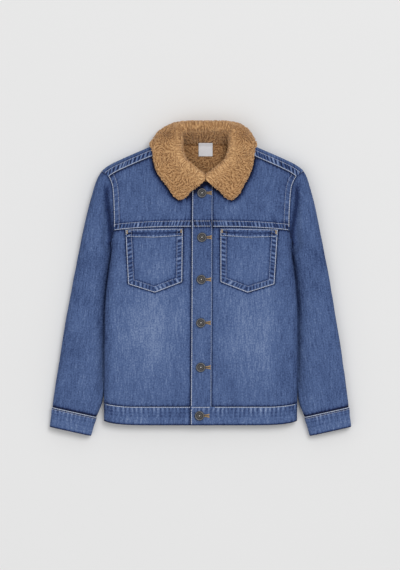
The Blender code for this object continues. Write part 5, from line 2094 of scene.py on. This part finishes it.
@dataclass(frozen=True)
class ButtonForm:
    """A turned metal button: a dished face inside a rolled rim, with a nub in the middle. Each profile
    row is a radius, a height and how rubbed it is."""

    sides: int = 40
    profile: Rows = (
        (0.01, 4.9, 0.9), (0.7, 4.85, 0.9), (1.3, 4.7, 0.8), (1.75, 4.4, 0.55), (1.95, 3.95, 0.25),
        (2.1, 3.5, 0.05), (2.5, 3.3, 0.05), (3.2, 3.35, 0.35), (3.7, 3.5, 0.6), (4.1, 3.4, 0.35),
        (4.7, 3.25, 0.15), (5.6, 3.3, 0.2), (6.2, 3.45, 0.3), (6.6, 3.75, 0.5), (7.2, 3.95, 0.7),
        (7.8, 3.85, 0.55), (8.3, 3.5, 0.3), (8.6, 3.0, 0.15), (8.55, 2.4, 0.2), (8.2, 1.8, 0.1),
        (7.0, 1.5, 0.05), (3.4, 1.2, 0.0), (3.05, 0.8, 0.0), (3.0, 0.0, 0.0), (0.01, 0.0, 0.0),
    )

    def mesh(self, x: float, y: float, seat: float, turn: float) -> MeshData:
        """The profile turned round its axis: x = r cos a, y = r sin a.

        Args:
            x: Where its middle is.
            y: Where its middle is.
            seat: The height that it sits at.
            turn: How far its casting is turned.

        Returns:
            The mesh.
        """
        radius, height, tone_change = np.array(self.profile).T[:, :, None]
        angle = np.linspace(0, 2 * math.pi, self.sides, endpoint=False)[None]
        uneven = 1 + 0.006 * np.sin(3 * angle + turn)
        points = np.stack([
            x + radius * uneven * np.cos(angle), y + radius * uneven * np.sin(angle),
            seat + height + 0 * angle,
        ], axis=-1)
        index = np.arange(points.shape[0] * self.sides).reshape(points.shape[0], self.sides)
        turned = np.roll(index, -1, axis=1)
        body = np.stack([index[:-1], index[1:], turned[1:], turned[:-1]], axis=-1).reshape(-1, 4)
        half = self.sides // 2
        tip = index[0]
        caps = [
            np.stack([ring[:half - 1], ring[1:half], ring[-2:half - 1:-1], ring[:half - 1:-1][:half - 1]], -1)
            for ring in (tip, index[-1][::-1])
        ]
        tone = np.broadcast_to(tone_change, points.shape[:2])
        faces = np.concatenate([body, *caps])
        return MeshData(points.reshape(-1, 3), faces, {"tone": tone.ravel().astype(float)})


@dataclass(frozen=True)
class HoleForm:
    """A buttonhole, measured out from its button's middle: bars of thread on both sides of a slit, which grow
    wider past one place, and a dark bar laid in the slit between them as its painted shadow."""

    start: float = 6.5
    end: float = 17.4
    pitch: float = 0.6
    half_slit: float = 0.5
    half_width: float = 2.0
    flare: float = 1.7
    flare_from: float = 11.5
    slant: float = 0.2
    slit_start: float = 6.0
    slit_short: float = 1.4


@dataclass
class Fastenings:
    """The buttons and their buttonholes. Holes takes the thread, and the other rows take the dark bars that
    paint each slit's shadow.
    """

    form: ButtonForm
    hole_form: HoleForm
    shop: Workshop
    holes: Stitching
    slit_shadows: Stitching
    collar_edge: Path

    def build(self) -> None:
        """Makes all six."""
        skin = band_skin(self.collar_edge)
        for number, (x, y) in enumerate(BUTTON_PLACES, 1):
            seat = float(skin.points(np.array([[x, y]]))[0, 2]) + 0.1
            data = self.form.mesh(x, y, seat, 1.7 * number)
            name = f"button_{number}"
            self.shop.piece(name, data, self.shop.metal, "antique_metal", [name])
            self.hole(skin, x, y)

    def hole(self, skin: Skin, x: float, y: float) -> None:
        """One buttonhole: bars of thread on both sides of its slit, longer towards its flared end."""
        form = self.hole_form
        start, end = x + form.start, x + form.end
        flared = end - x - form.flare_from
        for edge in (-1, 1):
            for place in np.arange(start, end, form.pitch):
                wide = form.half_width + form.flare * max(0.0, (place - x - form.flare_from) / flared)
                near, far = y + edge * form.half_slit, y + edge * wide
                self.holes.sew_bar(skin, np.array([[place, near], [place + form.slant, far]]))
        # A dark bar along the slit, painted as its shadow.
        self.slit_shadows.sew_bar(skin, np.array([[x + form.slit_start, y], [end - form.slit_short, y]]))


@dataclass(frozen=True)
class CollarForm:
    """The collar's under side, section by section: the stand from the neck seam to the fold, the turn
    round the fold, and the leaf along a cubic Bezier curve to its edge."""

    sections: int = 440
    stand_steps: int = 20
    turn_steps: int = 12
    leaf_steps: int = 58
    fold_radius: float = 2.0
    pile: float = 9.0
    pile_edge: float = 2.2
    pile_round: float = 9.0
    rest_gap: float = 2.2
    front_top: float = 232.0
    blunt: float = 20.0
    draw_out: float = 2.8
    lowered: Pair = (2.6, 2.4)
    lower_step: Pair = (24.0, 36.0)
    lower_end: Pair = (57.0, 72.0)
    lower_below: Pair = (172.0, 190.0)
    narrowed: Pair = (6.3, 5.0)
    narrow_y: float = 252.0
    narrow_height: float = 12.0
    narrow_out: Pair = (40.0, 78.0)
    blunt_rows: int = 23
    blunt_columns: int = 10

    def under(self) -> Array:
        """Rows are sections from the wearer's right to the left; columns go from the neck to the
        edge."""
        signed = np.linspace(-7, 7, self.sections + 1)
        station = np.abs(signed)
        neck, fold, edge = (COLLAR.point(name, station) for name in ("neck", "fold", "edge"))
        facing = np.radians(DRAPE.read("facing", station))
        out = np.stack([np.cos(facing), np.sin(facing), np.zeros_like(facing)], axis=-1)
        swing, fall, lay, lift = (DRAPE.read(name, station)[:, None] for name in DRAPE_COLUMNS[2:])
        first = fold + swing * out - fall * UP
        second = edge + lay * out + lift * UP
        share = np.linspace(0, 1, self.stand_steps + 1)[:-1, None, None]
        stand = neck + (fold - self.fold_radius * out - neck) * share
        turn = np.linspace(math.pi, 0.35 * math.pi, self.turn_steps + 1)[:, None, None]
        arc = fold + self.fold_radius * (np.cos(turn) * out + np.sin(turn) * UP)
        t = np.linspace(0, 1, self.leaf_steps + 1)[1:, None, None]
        leaf = (1 - t) ** 3 * arc[-1] + 3 * (1 - t) ** 2 * t * first + 3 * (1 - t) * t**2 * second
        leaf = leaf + t**3 * edge
        section = np.concatenate([stand, arc, leaf]).transpose(1, 0, 2)
        section[..., 0] *= np.where(signed < 0, -1, 1)[:, None]
        section = self.blunted(section)
        pull = np.where(section[..., 0] < 0, self.narrowed[0], -self.narrowed[1])
        bell = hump(section[..., 1] - self.narrow_y, self.narrow_height)
        section[..., 0] += pull * (bell * ease(np.abs(section[..., 0]), *self.narrow_out))
        x = np.abs(section[..., 0])
        low = self.lowered[0] + self.lowered[1] * ease(x, *self.lower_step)
        low = low * (1 - ease(x, *self.lower_end)) * (1 - ease(section[..., 1], *self.lower_below))
        section[..., 1] -= low
        return self.resting(section)

    def blunted(self, section: Array) -> Array:
        """The leaf's front corners made round. Within a square at each corner, shares a and b of the
        way to its two edges become a sqrt(1 - b^2 / 2) and b sqrt(1 - a^2 / 2), after the corner has
        been drawn out a little."""
        rows, columns = section.shape[:2]
        reached, along = lengths_along(section[:, -1]), lengths_along(section, 1)
        result = section.copy()
        for end, from_end in ((0, reached), (rows - 1, reached[-1] - reached)):
            a = np.clip(1 - from_end / self.blunt, 0, 1)[:, None] * np.ones((1, columns))
            b = np.clip(1 - (along[:, -1:] - along) / self.blunt, 0, 1)
            move_a = a - a * np.sqrt(1 - b**2 / 2)
            move_b = b - b * np.sqrt(1 - a**2 / 2)
            inward = section[abs(end - self.blunt_rows)] - section[end]
            inward = inward / np.linalg.norm(inward, axis=-1, keepdims=True)
            back = section[:, -1 - self.blunt_columns] - section[:, -1]
            back = back / np.linalg.norm(back, axis=-1, keepdims=True)
            corner = (a * b)[..., None] * self.draw_out
            result = result + move_a[..., None] * self.blunt * inward[None]
            result = result + move_b[..., None] * self.blunt * back[:, None]
            result = result - corner * (inward[None] + back[:, None])
        return result

    def resting(self, under: Array) -> Array:
        """The under side lifted clear of the shoulders where it lies over them."""
        plan = under[..., :2].copy()
        plan[..., 0] = np.abs(plan[..., 0])
        over = plan[..., 1] < np.interp(plan[..., 0], SHOULDER.points[:, 0], SHOULDER.points[:, 1])
        over &= plan[..., 0] > SHOULDER_LINE[0][0] - 0.4
        floor = FORM.height(plan, Face.FRONT) + self.rest_gap
        lifted = under.copy()
        lifted[..., 2] = np.where(over, np.maximum(under[..., 2], floor), under[..., 2])
        return lifted

    def edge(self) -> Path:
        """The leaf's edge as it lies, once the collar has leaned."""
        return Path(FORM.leaned(self.under()[::4, -1], collar=True)[:, :2], smooth=False)

    def thickness(self, under: Array) -> Array:
        """The pile's depth: a quarter ellipse up from the leaf's nearest free edge."""
        to_edge = lengths_along(under[:, ::-1], 1)[:, ::-1]
        to_ends = [np.linalg.norm(under - end[None], axis=-1) for end in (under[0], under[-1])]
        start = self.stand_steps + self.turn_steps
        share = np.clip((np.arange(under.shape[1]) - start) / self.leaf_steps * 3, 0, 1)
        to_end = self.pile_round + (np.minimum(*to_ends) - self.pile_round) * share
        nearest = np.minimum(to_edge, to_end)
        return self.pile_edge + (self.pile - self.pile_edge) * rounded(nearest, self.pile_round)

    def over(self, under: Array) -> tuple[Array, Array]:
        """The pile's top, and its normals. Neither front end's pile crosses the middle."""
        normals = grid_normals(under)
        leaf = normals[:, -self.leaf_steps // 2, 2].mean()
        normals = normals * np.sign(leaf)
        top = under + self.thickness(under)[..., None] * normals
        side = np.sign(under[..., 0])
        held = side * np.maximum(side * top[..., 0], 0.4)
        top[..., 0] = np.where(under[..., 1] < self.front_top, held, top[..., 0])
        return top, normals


def back_fold_shade(points: Array, normals: Array) -> Array:
    """How far fleece lies on top of the fold at the back of the neck, from 0 to 1, where painted shade
    darkens the pile that faces up to the light."""
    return ease(normals[..., 2], 0.4, 0.9) * ease(points[..., 1], 235.0, 255.0)


@dataclass(frozen=True)
class Curls:
    """The fleece's curls, each a short bent tube that rises from the pile and dives back."""

    area_each: float = 13.0
    length: Pair = (2.2, 3.9)
    radius: Pair = (0.5, 0.85)
    stand: float = 0.0
    sink: float = 0.8
    swirl: float = 2.2
    blotch: float = 7.0

    def grow(self, grid: Array, normals: Array, seed: int, keep: Array | None = None) -> MeshData:
        """Scatters curls over a grid, as many to each square millimetre. They lie along its columns,
        turned by slow noise, so that neighbours lie much the same way.

        Args:
            grid: The pile's top.
            normals: Its normals.
            seed: Picks the curls.
            keep: Which of the grid's cells may carry them.

        Returns:
            All the curls as one mesh.
        """
        random = np.random.default_rng(seed)
        diagonals = np.cross(grid[1:, 1:] - grid[:-1, :-1], grid[1:, :-1] - grid[:-1, 1:])
        areas = np.linalg.norm(diagonals, axis=-1) / 2
        if keep is not None:
            areas = areas * keep
        count = int(areas.sum() / self.area_each)
        cell = random.choice(areas.size, count, p=(areas / areas.sum()).ravel())
        row, column = np.divmod(cell, areas.shape[1])
        u, v = random.random((2, count, 1))
        low = grid[row, column] * (1 - u) + grid[row, column + 1] * u
        high = grid[row + 1, column] * (1 - u) + grid[row + 1, column + 1] * u
        centre = low * (1 - v) + high * v
        normal = normals[row, column]
        down = grid[row, column + 1] - grid[row, column]
        side = np.cross(normal, down)
        side /= np.linalg.norm(side, axis=-1, keepdims=True)
        down = np.cross(side, normal)
        turn = self.swirl * speckle(centre[:, 0] / self.blotch, centre[:, 1] / self.blotch, 4.0)
        turn = (turn + random.normal(0, 0.3, count))[:, None]
        first = down * np.cos(turn) + side * np.sin(turn)
        second = np.cross(normal, first)
        length = random.uniform(*self.length, (count, 1))
        bend = random.uniform(-0.3, 0.3, (count, 1)) * length
        lean = random.normal(0, 0.35, (count, 1))
        t = np.array([0.0, 0.22, 0.5, 0.78, 1.0])[None, :, None]
        arch = 1 - (2 * t - 1) ** 2
        rise = (self.stand + self.sink) * arch - self.sink + random.normal(0, 0.2, (count, 1, 1))
        path = centre[:, None] + first[:, None] * (length[:, None] * (t - 0.5))
        path = path + second[:, None] * (bend[:, None] * arch) + normal[:, None] * rise
        path = path + first[:, None] * (lean[:, None] * arch)
        radius = random.uniform(*self.radius, (count, 1)) * np.array([0.35, 0.9, 1.0, 0.9, 0.35])
        light = random.normal(0.0, 0.09, (count, 1))
        # Painted shade: each curl is darker at its ends, where it dives into the pile, and darker on the fold
        # at the back of the neck.
        fold_shade = 0.17 * back_fold_shade(centre, normal)[:, None]
        tone = 0.52 + 0.22 * arch[..., 0] + light - fold_shade
        return tubes(path, radius, normal, tone)


@dataclass(frozen=True)
class NeckForm:
    """The lining's and the label's boxes; where the collar's pile lies flatter and is painted lighter, and
    where the stand is painted lighter up to the fold, as columns past its fold; and how much painted shade
    darkens the fold at the back of the neck."""

    lining_x: float = 50.0
    lining_y: Pair = (160.0, 243.0)
    lining_height: float = 1.9
    lining_pile: float = 7.2
    label_x: float = 12.5
    label_y: Pair = (220.0, 243.8)
    label_height: float = 10.5
    label_cloth: float = 0.8
    # Painted highlight: the flatter band past the fold and the stand's upper part are paler; painted shade on
    # the back fold.
    brushed_and_lit_at: float = 6.0
    brushed_and_lit_width: float = 8.0
    crest_highlight: Pair = (-20.0, -9.0)
    fold_shade_strength: float = 0.17


@dataclass
class Neck:
    """The collar, the back neck's lining and the label."""

    form: CollarForm
    curls: Curls
    shop: Workshop
    box: NeckForm = NeckForm()

    def build(self) -> None:
        """Makes all of them."""
        self.collar()
        self.lining()
        self.label()

    def collar(self) -> None:
        """The collar's shell, whose pile is uneven, and its curls in two halves."""
        under = self.form.under()
        top, normals = self.form.over(under)
        ridge = wool(top.shape[:2], 3)
        clear = ease(np.linalg.norm(top - under, axis=-1), 2.0, 5.0)
        column = np.arange(top.shape[1]) - self.form.stand_steps - self.form.turn_steps
        brushed_and_lit = hump(column - self.box.brushed_and_lit_at, self.box.brushed_and_lit_width)
        outer = top - (0.2 + 1.6 * (1 - ridge) * clear * (1 - 0.45 * brushed_and_lit))[..., None] * normals
        # Painted shade darkens the clefts between the ridges; a painted highlight pales the flatter band past
        # the fold and the stand's upper part.
        tone = 0.24 + 0.54 * ridge + 0.1 * brushed_and_lit + 0.2 * ease(column, *self.box.crest_highlight) * (column < 0)
        # Painted shade on the fold at the back of the neck, which faces up to the light.
        tone = tone - self.box.fold_shade_strength * back_fold_shade(top, normals)
        length = np.linalg.norm(np.diff(under, axis=0), axis=-1).mean(axis=1).sum()
        half = len(top) // 2
        for label, part in (("right", slice(0, half + 1)), ("left", slice(half, None))):
            curls = self.curls.grow(top[part], normals[part], 5 + half * (label == "left"))
            self.shop.piece(f"collar_curls_{label}", curls, self.shop.fleece, "fleece", collar=True)
        shell = wall([Layer(outer, under, tone, None, 0.4)], value="tone")
        shell.values.pop("cloth")
        rests_on = ("front_yoke_left", "front_yoke_right", "back")
        curls_names = ("collar_curls_right", "collar_curls_left")
        declared = Declared(round(float(length)), 88.0, 0.9, rests_on, curls_names)
        self.shop.piece("collar", shell, self.shop.fleece, "fleece", ["collar"], declared, collar=True)

    def lining(self) -> None:
        """The fleece inside the back of the neck."""
        box = self.box
        x, y = np.meshgrid(np.linspace(-box.lining_x, box.lining_x, 90), np.linspace(*box.lining_y, 76))
        low = np.stack([x, y, np.full_like(x, box.lining_height)], axis=-1)
        top = low + UP * box.lining_pile
        ridge = wool(top.shape[:2], 8)
        outer = top - UP * (0.2 + 1.5 * (1 - ridge))[..., None]
        covered = (np.abs(x) < box.label_x) & (y > 219.0) | (y > 238.0)
        keep = ~covered[:-1, :-1]
        curls = self.curls.grow(top, UP + 0 * top, 91, keep)
        self.shop.piece("neck_curls", curls, self.shop.fleece_shaded, "fleece", collar=True)
        # Painted shade: the pile is darker in its clefts, and a dark band runs where the lining meets the
        # collar's stand.
        seam = ease(y, 238.0, 241.0)
        shell = wall([Layer(outer, low, 0.28 + 0.42 * ridge - 0.3 * seam, None, 0.2)], value="tone")
        shell.values.pop("cloth")
        declared = Declared(100.0, 80.1, 1.0, ON_BACK, ("neck_curls",))
        name = "neck_lining"
        self.shop.piece(name, shell, self.shop.fleece_shaded, "fleece", [name], declared, collar=True)

    def label(self) -> None:
        """The blank label, whose tape lies a little unevenly."""
        box = self.box
        x, y = np.meshgrid(np.linspace(-box.label_x, box.label_x, 30), np.linspace(*box.label_y, 28))
        z = box.label_height + 0.25 * speckle(x / 9, y / 8, 2.0)
        z = z - 0.3 * hump(np.abs(x) - box.label_x, 2.0)
        z = z + 3.0 * ease(y, 236.5, 244.5)
        outer = np.stack([x, y, z], axis=-1)
        shell = wall([Layer(outer, outer - UP * box.label_cloth, np.zeros_like(x))])
        shell.values.clear()
        declared = Declared(25.0, 24.0, 1.0, ("neck_lining",))
        self.shop.piece("label", shell, self.shop.label, "label_cloth", ["label"], declared, collar=True)


@dataclass(frozen=True)
class Lamp:
    """A large square light that faces the jacket."""

    name: str
    place: tuple[float, float, float]
    size: float
    power: float


@dataclass(frozen=True)
class Studio:
    """The floor, the lights and the camera."""

    lamps: tuple[Lamp, ...] = (
        Lamp("key", (2.1, 2.7, 7.0), 3.6, 262.0),
        Lamp("fill", (-2.4, -1.6, 4.6), 3.4, 36.0),
    )
    middle: Pair = (-0.0007, -0.0119)
    high: float = 1.026
    lens: float = 200.0
    sensor: float = 36.0
    daylight: float = 0.585
    cloth_height: float = 0.015
    floor_reach: float = 3.0

    def build(self, floor_finish: bpy.types.Material) -> None:
        """Sets up all of them.

        Args:
            floor_finish: The floor's material.
        """
        bpy.context.scene.view_settings.view_transform = "Standard"
        self.floor(floor_finish)
        for lamp in self.lamps:
            self.light(lamp)
        world = bpy.data.worlds.new("studio")
        world.use_nodes = True
        inputs = world.node_tree.nodes["Background"].inputs
        inputs["Color"].default_value = (1.0, 1.0, 1.0, 1.0)
        inputs["Strength"].default_value = self.daylight
        bpy.context.scene.world = world
        self.camera()

    def floor(self, finish: bpy.types.Material) -> None:
        """A large flat sheet under the jacket."""
        mesh = bpy.data.meshes.new("floor")
        reach = self.floor_reach
        corners = [(-reach, -reach, 0.0), (reach, -reach, 0.0), (reach, reach, 0.0), (-reach, reach, 0.0)]
        mesh.from_pydata(corners, [], [(0, 1, 2, 3)])
        mesh.materials.append(finish)
        made = bpy.data.objects.new("floor", mesh)
        bpy.context.scene.collection.objects.link(made)

    def light(self, lamp: Lamp) -> None:
        """Hangs one light."""
        data = bpy.data.lights.new(lamp.name, "AREA")
        data.size = lamp.size
        data.energy = lamp.power
        made = bpy.data.objects.new(lamp.name, data)
        made.location = lamp.place
        made.rotation_euler = (-Vector(lamp.place)).to_track_quat("-Z", "Y").to_euler()
        bpy.context.scene.collection.objects.link(made)

    def camera(self) -> None:
        """A long lens straight above, whose frame is as high as asked at the height of the cloth."""
        camera = bpy.data.cameras.new("camera")
        camera.lens = self.lens
        camera.sensor_width = self.sensor
        camera.sensor_fit = "AUTO"
        distance = self.high * self.lens / self.sensor
        made = bpy.data.objects.new("camera", camera)
        made.location = (*self.middle, distance + self.cloth_height)
        camera.clip_end = 50.0
        bpy.context.scene.collection.objects.link(made)
        bpy.context.scene.camera = made


def main() -> None:
    """Builds the jacket, then the studio."""
    logging.basicConfig(level=logging.INFO, format="%(message)s")
    shop = Workshop()
    pale, ochre, tan, dark = (Stitching(radius=radius) for radius in (0.55, 0.55, 0.6, 0.6))
    collar = CollarForm()
    edge = collar.edge()
    Body(BodyCut(), shop, pale, edge).build()
    Sleeves(SleeveForm(), shop, pale).build()
    Pockets(PocketCut(), shop, pale, tan).build()
    Fastenings(ButtonForm(), HoleForm(), shop, ochre, dark, edge).build()
    Neck(collar, Curls(), shop).build()
    threads = (
        ("topstitching", pale, shop.thread),
        ("buttonholes", ochre, shop.ochre),
        # Painted shadow: dark bars laid in the buttonholes' slits.
        ("buttonhole_slit_shadows", dark, shop.dark),
        ("bar_tacks", tan, shop.tan),
    )
    for name, sewn, finish in threads:
        shop.piece(name, joined(sewn.rows), finish, "denim")
    Studio().build(Paper().material())
    LOG.info("%d triangles in all", shop.triangles)


if __name__ == "__main__":
    main()
